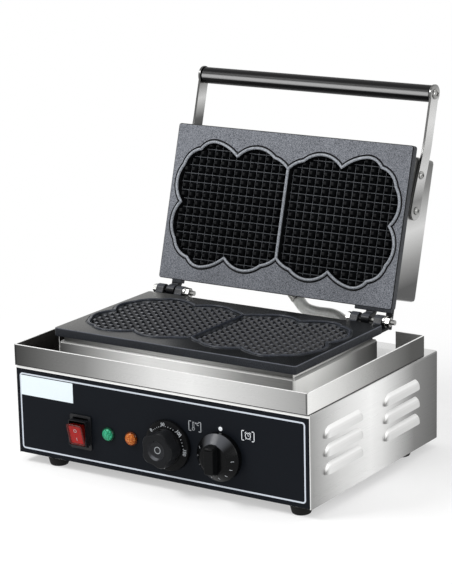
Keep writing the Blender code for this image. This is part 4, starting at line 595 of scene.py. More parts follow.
def piped(points, radius, steps, closed=False, radii=None):
    """A mesh tube along points, from a curve that is turned into a mesh."""
    curve = bpy.data.curves.new("pipe", "CURVE")
    curve.dimensions = "3D"
    curve.bevel_depth = radius
    curve.bevel_resolution = steps // 2 - 1
    curve.use_fill_caps = not closed
    spline = curve.splines.new("POLY")
    spline.points.add(len(points) - 1)
    for index, point in enumerate(points):
        spline.points[index].co = (*point, 1)
        spline.points[index].radius = radii[index] / radius if radii else 1.0
    spline.use_cyclic_u = closed
    bm = curve_mesh(curve)
    bmesh.ops.remove_doubles(bm, verts=bm.verts, dist=0.000002)
    bmesh.ops.recalc_face_normals(bm, faces=bm.faces)
    return bm


# %% [markdown]
# The camera stands where the photograph's perspective puts it: a long lens, a little above
# the plates, to the right of the front. It is made early, since all that follows is judged
# through it. Its roll of about a degree is the photograph's own.

# %% Camera
LENS = 137.57
YAW_PITCH_ROLL = (-33.4699, -14.5955, -1.2288)
CAMERA_RIGHT, CAMERA_BACK, CAMERA_UP = 1.3792, 1.941, 0.8365


def add_camera():
    """Its place is measured from the middle of the panel's front, at the housing's bottom."""
    camera = linked("camera", bpy.data.cameras.new("camera"))
    camera.data.sensor_width = 36.0
    camera.data.lens = LENS
    camera.data.clip_end = 20.0
    yaw, pitch, roll = (math.radians(a) for a in YAW_PITCH_ROLL)
    ahead = Vector((math.sin(yaw) * math.cos(pitch), math.cos(yaw) * math.cos(pitch),
                    math.sin(pitch)))
    right = Vector((math.cos(yaw), -math.sin(yaw), 0))
    up = right.cross(ahead)
    turned_right = right * math.cos(roll) + up * math.sin(roll)
    turned_up = up * math.cos(roll) - right * math.sin(roll)
    matrix = Matrix((turned_right, turned_up, -ahead)).transposed().to_4x4()
    matrix.translation = (CAMERA_RIGHT, PANEL_Y - CAMERA_BACK, HOUSING_BOTTOM + CAMERA_UP)
    camera.matrix_world = matrix
    bpy.context.scene.camera = camera
    print("camera at", tuple(round(v, 3) for v in matrix.translation))


add_camera()

# %% [markdown]
# Each cavity is a clover: arcs that meet in soft notches, with a straight divider between the
# two. The outline is a few corner points with an arc swelling between each pair. One quarter
# is enough, since the rest mirrors it.

# %% Clover outline
CAVITY_HALF_WIDTH = 156.4 * MM
CAVITY_HALF_DEPTH = 76.7 * MM
CLOVER_POINTS = ((0.000, 0.701), (0.131, 0.851), (0.467, 0.808), (0.668, 1.000),
                 (0.808, 0.871), (0.948, 0.600), (0.934, 0.000))
CLOVER_BULGES = (0.080, 0.207, 0.076, 0.144, 0.152, 0.185)
CLOVER_STEPS = (5, 14, 8, 8, 9, 12)


def swollen(start, end, bulge, steps):
    """The points after start on an arc to end, whose height is a share of its chord."""
    a, b = Vector(start), Vector(end)
    chord = b - a
    side = Vector((-chord.y, chord.x)).normalized()
    height = bulge * chord.length
    radius = (chord.length ** 2 / 4 + height ** 2) / (2 * height)
    centre = (a + b) / 2 + side * (height - radius)
    first = math.atan2(a.y - centre.y, a.x - centre.x)
    last = math.atan2(b.y - centre.y, b.x - centre.x)
    turn = (last - first + math.pi) % (2 * math.pi) - math.pi
    return [centre + radius * Vector((math.cos(first + turn * i / steps),
                                      math.sin(first + turn * i / steps)))
            for i in range(1, steps + 1)]


def clover_quarter():
    corners = [(x * CAVITY_HALF_WIDTH, y * CAVITY_HALF_DEPTH) for x, y in CLOVER_POINTS]
    points = [Vector(corners[0])]
    for a, b, bulge, steps in zip(corners, corners[1:], CLOVER_BULGES, CLOVER_STEPS):
        points += swollen(a, b, bulge, steps)
    return points


def flipped(points, across, along):
    return [Vector((p.x * across, p.y * along)) for p in points]


def one_cavity():
    """The right cavity, clockwise."""
    quarter = clover_quarter()
    return quarter + flipped(reversed(quarter[:-1]), 1, -1)


def both_cavities():
    """One line round the two, clockwise."""
    quarter = clover_quarter()
    right = quarter + flipped(reversed(quarter[1:-1]), 1, -1)
    left = flipped(quarter, -1, -1) + flipped(reversed(quarter[1:-1]), -1, 1)
    return right + left


def grown(outline, distance):
    """A clockwise outline moved outwards."""
    result = []
    for index, here in enumerate(outline):
        before = outline[index - 1]
        after = outline[(index + 1) % len(outline)]
        sides = []
        for step in (here - before, after - here):
            way = step.normalized()
            sides.append(Vector((-way.y, way.x)))
        mitre = (sides[0] + sides[1]).normalized()
        result.append(here + mitre * (distance / max(mitre.dot(sides[0]), 0.5)))
    return result


print("points round one cavity:", len(one_cavity()))

# %% [markdown]
# A plate is made face up at the origin and moved to its place at the end. The slab is a cube
# with bevelled edges. A tapered cutter, the same for both plates, sinks the cavities, and a
# thin pipe ploughs the groove that runs round the bead.

# %% Plate slab
PLATE_WIDTH = 328.0 * MM
PLATE_DEPTH = 192.0 * MM
PLATE_THICKNESS = 10.0 * MM
CAVITY_DEPTH = 6.4 * MM
BEAD_RADIUS = 1.7 * MM
BEAD_RISE = 0.1 * MM
WALL_DRAFT = 3.0 * MM
GROOVE_RADIUS = 1.2 * MM
GROOVE_OUT = 2.6 * MM


def cavity_cutter():
    """Two tapered plugs, wider at the top."""
    plugs = []
    for side in (1, -1):
        bm = bmesh.new()
        low = grown(one_cavity(), -WALL_DRAFT)
        high = grown(one_cavity(), -0.4 * MM)
        face = bm.faces.new([bm.verts.new((p.x * side, p.y, -CAVITY_DEPTH)) for p in low])
        raised = pulled(bm, [face], 0)[1]
        for point, target in zip(low, high):
            vertex = min(raised, key=lambda v: (v.co.x - point.x * side) ** 2
                         + (v.co.y - point.y) ** 2)
            vertex.co = (target.x * side, target.y, 1.2 * MM)
            raised.remove(vertex)
        plugs.append(bm)
    return finish_mesh(joined(*plugs), "cavity_cutter")


def plate_slab(face_material, edge_material, cavity_material, rim_material):
    bm = boxed((-PLATE_WIDTH / 2, -PLATE_DEPTH / 2, -PLATE_THICKNESS),
               (PLATE_WIDTH / 2, PLATE_DEPTH / 2, 0))
    upright = [e for e in bm.edges if abs(e.verts[0].co.z - e.verts[1].co.z) > MM]
    bevel_edges(bm, upright, 3.0 * MM, 4)
    bevel_edges(bm, steep_edges(bm, 60.0), 0.9 * MM, 2)
    slab = finish_mesh(bm, "slab")
    slab.materials.append(face_material)
    slab.materials.append(edge_material)
    slab.materials.append(rim_material)
    # The sides and bottom take the edge coat, painted darker as shade. The rounded rim takes its
    # own coat: a painted highlight on the lower plate, painted shade on the upper.
    for polygon in slab.polygons:
        upper = polygon.normal.z > 0.3 and polygon.center.z > -1.5 * MM
        polygon.material_index = 1 if not upper else 0 if polygon.normal.z > 0.95 else 2
    # The cavities take a darker coat as painted shade. The lower plate's cavities have blotches of
    # painted glints.
    cutter = cavity_cutter()
    cutter.materials.append(cavity_material)
    slab = carved(slab, cutter)
    # The groove round the bead takes the cavities' coat, near black as painted shade.
    line = [(p.x, p.y, 0.15 * MM) for p in grown(both_cavities(), GROOVE_OUT)]
    groove = finish_mesh(piped(line, GROOVE_RADIUS, 8, True), "groove")
    groove.materials.append(cavity_material)
    return carved(slab, groove)


# %% [markdown]
# The bead that holds the batter in is a half-sunk pipe along the outline, with a straight one
# for the divider. A pipe gives the round top that catches a thin line of light. On the upper
# plate its coat is also painted lighter than the face, as a painted highlight.

# %% Bead
def plate_bead():
    ring = [(p.x, p.y, BEAD_RISE) for p in both_cavities()]
    reach = CLOVER_POINTS[0][1] * CAVITY_HALF_DEPTH
    divider = [(0, -reach + 2 * reach * i / 8, BEAD_RISE) for i in range(9)]
    return joined(piped(ring, BEAD_RADIUS, 12, True), piped(divider, BEAD_RADIUS, 12))


# %% [markdown]
# The pegs press the waffle's pockets. They stand in a square grid at 10.4 mm, so one grid of
# faces makes them all: a first inset leaves the flat valley between pegs, a second one with
# depth raises the pyramid, and a bevel softens its corners as casting does. The field is then
# trimmed to the clover.

# %% Peg field
PEG_COLUMNS, PEG_ROWS = 31, 15
PEG_PITCH = 10.4 * MM
PEG_VALLEY = 0.6 * MM
PEG_TOP = 3.8 * MM
PEG_HEIGHT = 5.3 * MM


def peg_field():
    bm = bmesh.new()
    bmesh.ops.create_grid(bm, x_segments=PEG_COLUMNS, y_segments=PEG_ROWS, size=0.5)
    bmesh.ops.transform(bm, verts=bm.verts, matrix=Matrix.Translation((0, 0, -8.2 * MM))
                        @ Matrix.Diagonal((PEG_COLUMNS * PEG_PITCH, PEG_ROWS * PEG_PITCH, 1, 1)))
    cells = pulled(bm, bm.faces, 2.2 * MM)[0]
    bmesh.ops.recalc_face_normals(bm, faces=bm.faces)
    valleys = bmesh.ops.inset_individual(bm, faces=cells, thickness=PEG_VALLEY / 2,
                                         use_even_offset=True)["faces"]
    # The valleys take a coat of their own: on the upper plate painted lighter as lit floors, on the
    # lower plate painted darker as shade.
    for face in valleys:
        face.material_index = 1
    slope = (PEG_PITCH - PEG_VALLEY - PEG_TOP) / 2
    bmesh.ops.inset_individual(bm, faces=cells, thickness=slope, depth=PEG_HEIGHT,
                               use_even_offset=True)
    # The peg tops take another coat: painted shade on the upper plate, a painted highlight on the
    # lower plate.
    for face in cells:
        face.material_index = 2
    corners = set()
    for face in cells:
        corners.update(face.edges)
        for vertex in face.verts:
            corners.update(vertex.link_edges)
    bevel_edges(bm, corners, 0.45 * MM, 2)
    return finish_mesh(bm, "peg_field")


def trimmed_pegs():
    prisms = [extruded([(p.x * side, p.y) for p in grown(one_cavity(), -3.2 * MM)],
                       -12 * MM, 4 * MM) for side in (1, -1)]
    field = peg_field()
    for material in (PEG_UPPER, VALLEY_UPPER, COAT_SHADE_BLACK):
        field.materials.append(material)
    trimmer = finish_mesh(joined(*prisms), "trimmer")
    trimmer.materials.append(PEG_UPPER)
    return carved(field, trimmer, "INTERSECT")


PEGS = trimmed_pegs()
print("triangles in one peg field:", sum(len(p.vertices) - 2 for p in PEGS.polygons))

# %% [markdown]
# The lower plate lies face up in the base. The upper one is the same piece turned over, and
# its place follows the lid, so that the cavities meet when the lid is shut.

# %% Both plates in place
PLATE_MIDDLE = -PLATE_BEHIND - PLATE_DEPTH / 2
LOWER_PLACE = Matrix.Translation((0, HINGE.y + PLATE_MIDDLE, PLATE_TOP))
UPPER_PLACE = (LID_TURN @ Matrix.Translation((0, PLATE_MIDDLE, LID_FACE))
               @ Matrix.Rotation(math.pi, 4, "Y"))


def add_plate(side, body, place, slab_materials, bead_material, peg_materials):
    slab = plate_slab(*slab_materials)
    slab.transform(place)
    kinds = list(slab.materials)
    add_piece(side + "_plate_slab", slab, kinds, body, [side + "_plate"], 40.0)
    add_piece(side + "_plate_bead", finish_mesh(plate_bead(), "bead", place), [bead_material],
              body)
    pegs = PEGS.copy()
    pegs.transform(place)
    add_piece(side + "_plate_pegs", pegs, peg_materials, body)


# Lower plate: painted reflection on the face, painted glints on the cavity wall, painted highlight
# on the rim and the peg tips, painted shade on the edges and in the valleys. Upper plate: painted
# shade on the edges, the rim, in the cavities, the groove and on the pegs, painted light on the
# bead and the valleys.
add_plate("lower", "base", LOWER_PLACE, (COAT_DECK, COAT_EDGE_SHADE, WALL_LOWER, EDGE_LOWER),
          BEAD_LOWER, (PEG_LOWER, VALLEY_LOWER, TIP_LOWER))
add_plate("upper", "lid", UPPER_PLACE, (COAT_GREY, COAT_EDGE_SHADE, COAT_SHADE_BLACK, COAT_EDGE_SHADE), COAT_BEAD,
          (PEG_UPPER, VALLEY_UPPER, COAT_SHADE_BLACK))

# %% [markdown]
# The hinge knuckles are cast in one with the plates. Each is a side view pulled along the
# pin's line, and its edges are rounded as a casting's are.

# %% Hinge knuckles
KNUCKLE_RADIUS = 6.9 * MM
KNUCKLE_LENGTH = 11.6 * MM
KNUCKLE_GAP = 3 * MM
KNUCKLE_ROUNDING = 1.1 * MM
LUG_ROOT = -PLATE_BEHIND - 2 * MM
STOP_START, STOP_LENGTH = 155.2 * MM, 8.4 * MM
UNITS = ((-159.2 * MM, 1.5 * MM), (115.4 * MM, 6.0 * MM))
ACROSS = Matrix(((0, 0, 1, 0), (1, 0, 0, 0), (0, 1, 0, 0), (0, 0, 0, 1)))


def round_points(radius, first, last, steps):
    angles = [math.radians(first + (last - first) * i / steps) for i in range(steps + 1)]
    return [(radius * math.cos(a), radius * math.sin(a)) for a in angles]


def lug(outline, start, length):
    """A side view, first value back and second up, made solid along X."""
    bm = extruded(outline, start, start + length)
    bevel_edges(bm, steep_edges(bm, 50.0), KNUCKLE_ROUNDING, 2)
    bmesh.ops.transform(bm, matrix=ACROSS, verts=bm.verts)
    return bm


def lower_lugs():
    """Two knuckles on each side, and the ledge that the open lid's stop rests on."""
    outline = ([(LUG_ROOT, -1.4 * MM), (-8.7 * MM, -1.4 * MM)]
               + round_points(KNUCKLE_RADIUS, 150, -110, 20) + [(LUG_ROOT, -9.4 * MM)])
    parts = []
    for start, gap in UNITS:
        for offset in (0, 2 * KNUCKLE_LENGTH + KNUCKLE_GAP + gap):
            parts.append(lug(outline, start + offset, KNUCKLE_LENGTH))
    ledge = [(LUG_ROOT, -6.9 * MM), (LUG_ROOT, -10.2 * MM), (4.1 * MM, -10.2 * MM),
             (5.1 * MM, -6.9 * MM)]
    parts.append(lug(ledge, STOP_START, STOP_LENGTH))
    return finish_mesh(joined(*parts), "lower_lugs", Matrix.Translation(HINGE))


def upper_lugs():
    """One knuckle on each side between the lower plate's two, and the stop."""
    back = LID_FACE + 9 * MM
    face = LID_FACE + 1 * MM
    outline = ([(LUG_ROOT, back), (-10.9 * MM, back)]
               + round_points(KNUCKLE_RADIUS, 60, -150, 18)
               + [(-8.4 * MM, face), (LUG_ROOT, face)])
    parts = [lug(outline, start + KNUCKLE_LENGTH + KNUCKLE_GAP, KNUCKLE_LENGTH)
             for start, gap in UNITS]
    stop = [(LUG_ROOT, 7.1 * MM), (9.1 * MM, 7.1 * MM), (9.1 * MM, back - 1 * MM),
            (8.1 * MM, back), (LUG_ROOT, back)]
    parts.append(lug(stop, STOP_START, STOP_LENGTH))
    return finish_mesh(joined(*parts), "upper_lugs", LID_TURN)


def lid_tabs():
    """The plate's edge reaches back between the knuckles."""
    end = -PLATE_BEHIND + 4 * MM
    face, back = LID_FACE + 0.3 * MM, LID_FACE + 8.4 * MM
    outline = [(LUG_ROOT, face), (end, face), (end, back), (LUG_ROOT, back)]
    parts = [lug(outline, low, high - low) for low, high in
             ((-144.0 * MM, -130.0 * MM), (114.7 * MM, 163.4 * MM))]
    return finish_mesh(joined(*parts), "lid_tabs", LID_TURN)


add_piece("hinge_lugs_lower", lower_lugs(), [LUG_BLACK], "base")
add_piece("hinge_lugs_upper", upper_lugs(), [LUG_BLACK], "lid")
# The tabs take the plate edges' coat, painted darker as shade.
add_piece("lid_tabs", lid_tabs(), [COAT_EDGE_SHADE], "lid")

# %% [markdown]
# The lid's handle is a glossy phenolic bar between two flat steel arms. The arms are laser
# cut from 3 mm sheet: a rounded foot, a soft S-bend and a disc round the grip's screw.

# %% Handle arms
COVER_HALF_WIDTH = 160.0 * MM
FOOT_ALONG, FOOT_RISE, FOOT_RADIUS = 118.0 * MM, 28.5 * MM, 11.0 * MM
NECK_ALONG, NECK_RISE, NECK_HALF = 205.0 * MM, 37.0 * MM, 9.0 * MM
GRIP_ALONG, GRIP_RISE, DISC_RADIUS = 257.0 * MM, 37.0 * MM, 11.3 * MM


def arm_outline():
    """The arm from the side: two S-curves, a disc at the grip and a round foot."""
    upper, lower = [], []
    steps = 20
    for i in range(steps + 1):
        share = i / steps
        ease = share * share * (3 - 2 * share)
        along = FOOT_ALONG + (NECK_ALONG - FOOT_ALONG) * share
        rise = FOOT_RISE + (NECK_RISE - FOOT_RISE) * ease
        half = FOOT_RADIUS + (NECK_HALF - FOOT_RADIUS) * share
        upper.append(lid_point(along, rise + half))
        lower.append(lid_point(along, rise - half))
    lean = math.degrees(math.asin(NECK_HALF / DISC_RADIUS))
    grip, foot = lid_point(GRIP_ALONG, GRIP_RISE), lid_point(FOOT_ALONG, FOOT_RISE)
    head = [(grip[0] + x, grip[1] + y)
            for x, y in round_points(DISC_RADIUS, lean, 360 - lean, 36)]
    tail = [(foot[0] + x, foot[1] + y) for x, y in round_points(FOOT_RADIUS, -90, 90, 18)]
    return upper + head + lower[::-1] + tail[1:-1]


def arm_mesh(side):
    low, high = sorted((side * (COVER_HALF_WIDTH + 0.3 * MM),
                        side * (COVER_HALF_WIDTH + 3.3 * MM)))
    bm = extruded(arm_outline(), low, high)
    bevel_edges(bm, steep_edges(bm, 60.0), 0.4 * MM, 2)
    bmesh.ops.transform(bm, matrix=ACROSS, verts=bm.verts)
    return finish_mesh(bm, "arm", LID_TURN)


for side_name, side, steel in (("left", -1, STEEL_ARM_LEFT), ("right", 1, STEEL_ARM_RIGHT)):
    add_piece("arm_" + side_name, arm_mesh(side), [steel], "lid",
              ["handle_arm_" + side_name])

# %% [markdown]
# The grip is a straight round bar, spun with small shoulders at its ends.

# %% Grip
def grip_mesh():
    half = COVER_HALF_WIDTH
    bm = spun([(0, half), (8.6 * MM, half), (9.7 * MM, half - 0.5 * MM),
               (10.1 * MM, half - 1.6 * MM), (10.1 * MM, -half + 1.6 * MM),
               (9.7 * MM, -half + 0.5 * MM), (8.6 * MM, -half), (0, -half)], 72)
    y, z = lid_point(GRIP_ALONG, GRIP_RISE)
    return finish_mesh(bm, "grip", LID_TURN @ Matrix.Translation((0, y, z)) @ ACROSS)


add_piece("grip_bar", grip_mesh(), [GRIP_BLACK], "lid", ["handle_grip"])

# %% [markdown]
# The arms are held by pan head screws with a cross recess. The head is spun from a low dome
# and the cross is two crossed blades cut out of it. The faces of the cut are painted dark, as
# shade in the recess.

# %% Screws
def screw_mesh(radius, height, place):
    mesh = finish_mesh(spun([(0, height), (radius * 0.45, height * 0.97),
                             (radius * 0.80, height * 0.72), (radius * 0.97, height * 0.32),
                             (radius, 0), (radius * 0.4, 0), (radius * 0.4, -2 * MM),
                             (0, -2 * MM)], 40), "head")
    mesh.materials.append(SCREW_STEEL)
    for turn in (0, math.pi / 2):
        blade = boxed((-radius * 0.55, -radius * 0.10, height * 0.45),
                      (radius * 0.55, radius * 0.10, height * 1.6))
        bmesh.ops.rotate(blade, cent=(0, 0, 0), matrix=Matrix.Rotation(turn, 3, "Z"),
                         verts=blade.verts)
        tool = finish_mesh(blade, "blade")
        tool.materials.append(RECESS_SHADE)
        mesh = carved(mesh, tool)
    mesh.transform(place)
    return mesh


def screw_place(side, along, rise, turn):
    y, z = lid_point(along, rise)
    face = COVER_HALF_WIDTH + 3.6 * MM
    facing = Matrix.Rotation(side * math.pi / 2, 4, "Y")
    return (LID_TURN @ Matrix.Translation((side * face, y, z)) @ facing
            @ Matrix.Rotation(turn, 4, "Z"))


SCREWS = (("arm_screw_low_", 118.4, 29.3, 4.8, 2.6), ("arm_screw_high_", 160.4, 29.3, 4.8, 2.6),
          ("grip_screw_", 257.0, 37.0, 6.2, 3.0))
for side_name, side in (("left", -1), ("right", 1)):
    for index, (stem, along, rise, radius, height) in enumerate(SCREWS):
        place = screw_place(side, along * MM, rise * MM, 0.5 + 0.9 * index)
        add_piece("pan_" + stem + side_name, screw_mesh(radius * MM, height * MM, place),
                  [SCREW_STEEL], "lid", [stem + side_name])

# %% [markdown]
# The side vents are pressed louvers: the sheet is slit along the lower edge and bulged out
# above the slit. Each bulges most at the slit and runs flat into the wall, laid as a thin
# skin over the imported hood, so that the light rolls over it as on pressed sheet.

# %% Louvers
HOUSING_HALF = 200 * MM
SHEET_LIFT = 0.08 * MM
LOUVER_CREST = 3.6
LOUVER_HALF = 41.0 * MM
LOUVER_END = 11.0 * MM
LOUVER_HEIGHT = 12.8 * MM
LOUVER_REACH = 4.6 * MM


def louver_skin(side, y, z):
    """One hood, bulging out from the side wall and open below."""
    bm = bmesh.new()
    rows = []
    stops = 48
    for i in range(stops + 1):
        along = -math.cos(math.pi * i / stops) * LOUVER_HALF
        past = max(abs(along) - (LOUVER_HALF - LOUVER_END), 0.0) / LOUVER_END
        share = math.sqrt(max(1.0 - past ** 2, 0.0004))
        row = []
        for j in range(11):
            rise = j / 10
            out = SHEET_LIFT + LOUVER_REACH * share * (1 - rise ** LOUVER_CREST)
            up = LOUVER_HEIGHT * share * rise
            across = side * (HOUSING_HALF + min(out, LOUVER_REACH))
            row.append(bm.verts.new((across, y + along, z + up)))
        rows.append(row)
    for a, b in zip(rows, rows[1:]):
        for j in range(10):
            bm.faces.new((a[j], b[j], b[j + 1], a[j + 1]))
    bmesh.ops.recalc_face_normals(bm, faces=bm.faces)
    if (bm.faces[:][len(bm.faces) // 2].normal.x > 0) != (side > 0):
        bmesh.ops.reverse_faces(bm, faces=bm.faces)
    bmesh.ops.solidify(bm, geom=list(bm.faces), thickness=0.5 * MM)
    return bm


def all_louvers():
    parts = [louver_skin(side, PANEL_Y + (69.5 + 132.0 * column) * MM,
                         HOUSING_BOTTOM + (31.8 + 20.7 * row) * MM)
             for side in (-1, 1) for column in range(2) for row in range(3)]
    return finish_mesh(joined(*parts), "louvers")


# The skins' steel is painted lighter where it faces up and darker at the ends: painted light and
# shade.
add_piece("louver_skins", all_louvers(), [STEEL_LOUVER], "base", sharp=60)

# %% [markdown]
# Sheet steel is cut sharp, and a cut edge catches the light: a thin painted highlight runs along
# the rim of the tray and down the corners of the heater box. Where two sheets meet there is a
# gap of less than a millimetre, which falls into shade; that shade is painted as a black strip.
# Both are thin strips laid on the imported sheets.

# %% Painted edge highlights and painted gap shade
PROUD = 0.06 * MM
TRAY_SHEET = 1.2 * MM


def strips(boxes):
    """One mesh of thin boxes, each given by two corners in any order."""
    parts = [boxed([min(p, q) for p, q in zip(a, b)], [max(p, q) for p, q in zip(a, b)])
             for a, b in boxes]
    return finish_mesh(joined(*parts), "strips")


# Painted highlights: bright strips along the tray's rim and down the box's corners.
def sheet_edges():
    low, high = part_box("splash_tray")
    top = high.z + PROUD
    rim = top - 0.5 * MM
    lines = [((low.x - PROUD, low.y - PROUD, rim),
              (high.x + PROUD, low.y + TRAY_SHEET + PROUD, top))]
    for edge, side in ((low.x, -1), (high.x, 1)):
        lines.append(((edge + side * PROUD, low.y, rim),
                      (edge - side * (TRAY_SHEET + PROUD), high.y, top)))
    low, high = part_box("heater_box")
    for edge, side in ((low.x, -1), (high.x, 1)):
        lines.append(((edge + side * PROUD, low.y - PROUD, low.z + MM),
                      (edge - side * 0.4 * MM, low.y + 0.4 * MM, high.z)))
    lines.append(((low.x, low.y - PROUD, high.z - 0.5 * MM), (high.x, low.y + MM, high.z)))
    return strips(lines)


# Painted shade: black strips where the tray meets the housing.
def sheet_gaps():
    low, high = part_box("splash_tray")
    near, far = TRAY_SHEET, TRAY_SHEET + 1.0 * MM
    gaps = [((low.x - PROUD, low.y - PROUD, low.z - 0.2 * MM),
             (high.x + PROUD, high.y + PROUD, low.z + 0.6 * MM))]
    for edge, side in ((low.x, -1), (high.x, 1)):
        gaps.append(((edge - side * near, low.y - PROUD, low.z + 1.2 * MM),
                     (edge - side * far, low.y + 1.3 * MM, high.z - 0.6 * MM)))
    return strips(gaps)


add_piece("sheet_edges", sheet_edges(), [STEEL_EDGE_HIGHLIGHT], "base")
add_piece("sheet_gaps", sheet_gaps(), [RECESS_SHADE], "base")

# %% [markdown]
# Printed marks are flat strokes, rings and figures a tenth of a millimetre thick, laid just
# above the surface that carries them.

# %% Printed marks
PRINT_THICKNESS = 0.1 * MM


def ring(radius, width, place=(0, 0, 0), steps=32):
    """A flat printed ring."""
    made = spun([(radius - width, 0), (radius, 0), (radius, PRINT_THICKNESS),
                 (radius - width, PRINT_THICKNESS), (radius - width, 0)], steps)
    bmesh.ops.translate(made, vec=place, verts=made.verts)
    return made


def bar(start, end, width):
    """A printed stroke from one point to another."""
    a, b = Vector(start), Vector(end)
    way = b - a
    bm = boxed((-width / 2, -way.length / 2 - width / 2, 0),
               (width / 2, way.length / 2 + width / 2, PRINT_THICKNESS))
    turn = Matrix.Rotation(math.atan2(way.y, way.x) - math.pi / 2, 4, "Z")
    middle = (a + b) / 2
    bmesh.ops.transform(bm, matrix=Matrix.Translation((middle.x, middle.y, 0)) @ turn,
                        verts=bm.verts)
    return bm


# %% [markdown]
# The rocker is a moulded red key: a raised frame with a flat panel sunk in it. It tips about
# its middle, and rests with its lower end pressed in.

# %% Rocker
ROCKER = Vector(JOINTS["rocker_tilt"]["pos_m"])
ROCKER_REST = math.radians(15)
KEY_HALF_WIDTH, KEY_HALF_HEIGHT = 11.0 * MM, 14.0 * MM
KEY_BACK, KEY_FRONT = -8.6 * MM, 4.2 * MM
KEY_PANEL = 3.32 * MM
ROCKER_PLACE = (Matrix.Translation(ROCKER) @ Matrix.Rotation(ROCKER_REST, 4, "X")
                @ Matrix.Rotation(math.pi / 2, 4, "X"))


def rocker_key():
    bm = boxed((-KEY_HALF_WIDTH, -KEY_HALF_HEIGHT, KEY_BACK),
               (KEY_HALF_WIDTH, KEY_HALF_HEIGHT, KEY_FRONT))
    for vertex in bm.verts:
        if vertex.co.z < 0:
            vertex.co.y *= 0.60
    upright = [e for e in bm.edges if abs(e.verts[0].co.z - e.verts[1].co.z) > 5 * MM]
    bevel_edges(bm, upright, 3.2 * MM, 5)
    top = max(bm.faces, key=lambda f: f.calc_center_median().z)
    bmesh.ops.inset_region(bm, faces=[top], thickness=1.9 * MM, use_even_offset=True)
    bmesh.ops.inset_region(bm, faces=[top], thickness=0.7 * MM, depth=-0.9 * MM,
                           use_even_offset=True)
    top.material_index = 1
    bevel_edges(bm, [e for e in steep_edges(bm, 60.0) if e.verts[0].co.z > 4 * MM], 0.5 * MM, 3)
    return finish_mesh(bm, "key", ROCKER_PLACE)


def rocker_marks():
    """A ring for off and a stroke for on."""
    off = ring(2.1 * MM, 0.5 * MM, (0, 5.4 * MM, KEY_PANEL))
    on = boxed((-0.3 * MM, -7.6 * MM, KEY_PANEL),
               (0.3 * MM, -3.8 * MM, KEY_PANEL + PRINT_THICKNESS))
    return finish_mesh(joined(off, on), "marks", ROCKER_PLACE)


add_piece("rocker_key", rocker_key(), [ROCKER_DEEP, ROCKER_RED], "rocker", ["rocker"])
add_piece("rocker_marks", rocker_marks(), [PRINT_DIAL], "rocker")

# %% [markdown]
# The feet are turned rubber pads, a little narrower at the floor.

# %% Feet
FOOT_NAMES = ("foot_front_left", "foot_front_right", "foot_back_left", "foot_back_right")
for name in FOOT_NAMES:
    low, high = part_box(name)
    middle = (low + high) / 2
    bm = spun([(0, 11.1 * MM), (12.4 * MM, 11.1 * MM), (13.0 * MM, 10.5 * MM),
               (11.1 * MM, 2.2 * MM), (10.4 * MM, 0.7 * MM), (9.3 * MM, 0), (3.2 * MM, 0),
               (2.4 * MM, 2.0 * MM), (0, 2.0 * MM)], 48)
    pad = finish_mesh(bm, "pad", Matrix.Translation((middle.x, middle.y, 0)))
    add_piece("pad_" + name, pad, [RUBBER], "base", [name])

# %% [markdown]
# Each lamp has a domed lens in a collar of a deeper colour.

# %% Lamps
for name, slot, lens_material, collar_material in (
        ("lamp_green", "green_lens", LENS_GREEN, RING_GREEN),
        ("lamp_amber", "amber_lens", LENS_AMBER, RING_AMBER)):
    low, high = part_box(name)
    place = on_panel((low.x + high.x) / 2, (low.z + high.z) / 2 - HOUSING_BOTTOM)
    dome = spun([(0, 5.6 * MM), (2.6 * MM, 5.4 * MM), (5.0 * MM, 4.6 * MM), (6.6 * MM, 3.2 * MM),
                 (7.0 * MM, 1.6 * MM), (7.0 * MM, 0.2 * MM), (0, 0.2 * MM)], 48)
    add_piece(name + "_lens", finish_mesh(dome, "dome", place), [lens_material], "base", [name])
    collar = spun([(6.9 * MM, 0.3 * MM), (7.0 * MM, 2.2 * MM), (7.6 * MM, 2.4 * MM),
                   (8.2 * MM, 1.6 * MM), (8.3 * MM, 0.3 * MM), (6.9 * MM, 0.3 * MM)], 48)
    add_piece(name + "_ring", finish_mesh(collar, "collar", place), [collar_material], "base")

# %% [markdown]
# The temperature knob is moulded phenolic: a broad skirt that carries the scale, and a cap
# with five shallow lobes and a dish in its front. The cap starts as a circle whose points are
# moved in and out by a wave, and is pulled up in steps so that it tapers. Each pull leaves its
# old face behind, so the inner faces are removed before a turned dish is cut out of the front.

# %% Temperature knob
DIAL = Vector(JOINTS["temperature_turn"]["pos_m"])
DIAL_PLACE = on_panel(DIAL.x, DIAL.z - HOUSING_BOTTOM)
CAP_RADIUS = 20.6 * MM
CAP_BACK = 8.5 * MM
LOBES, LOBE_DEPTH = 5, 0.055
DISH_FLOOR = 22.6 * MM


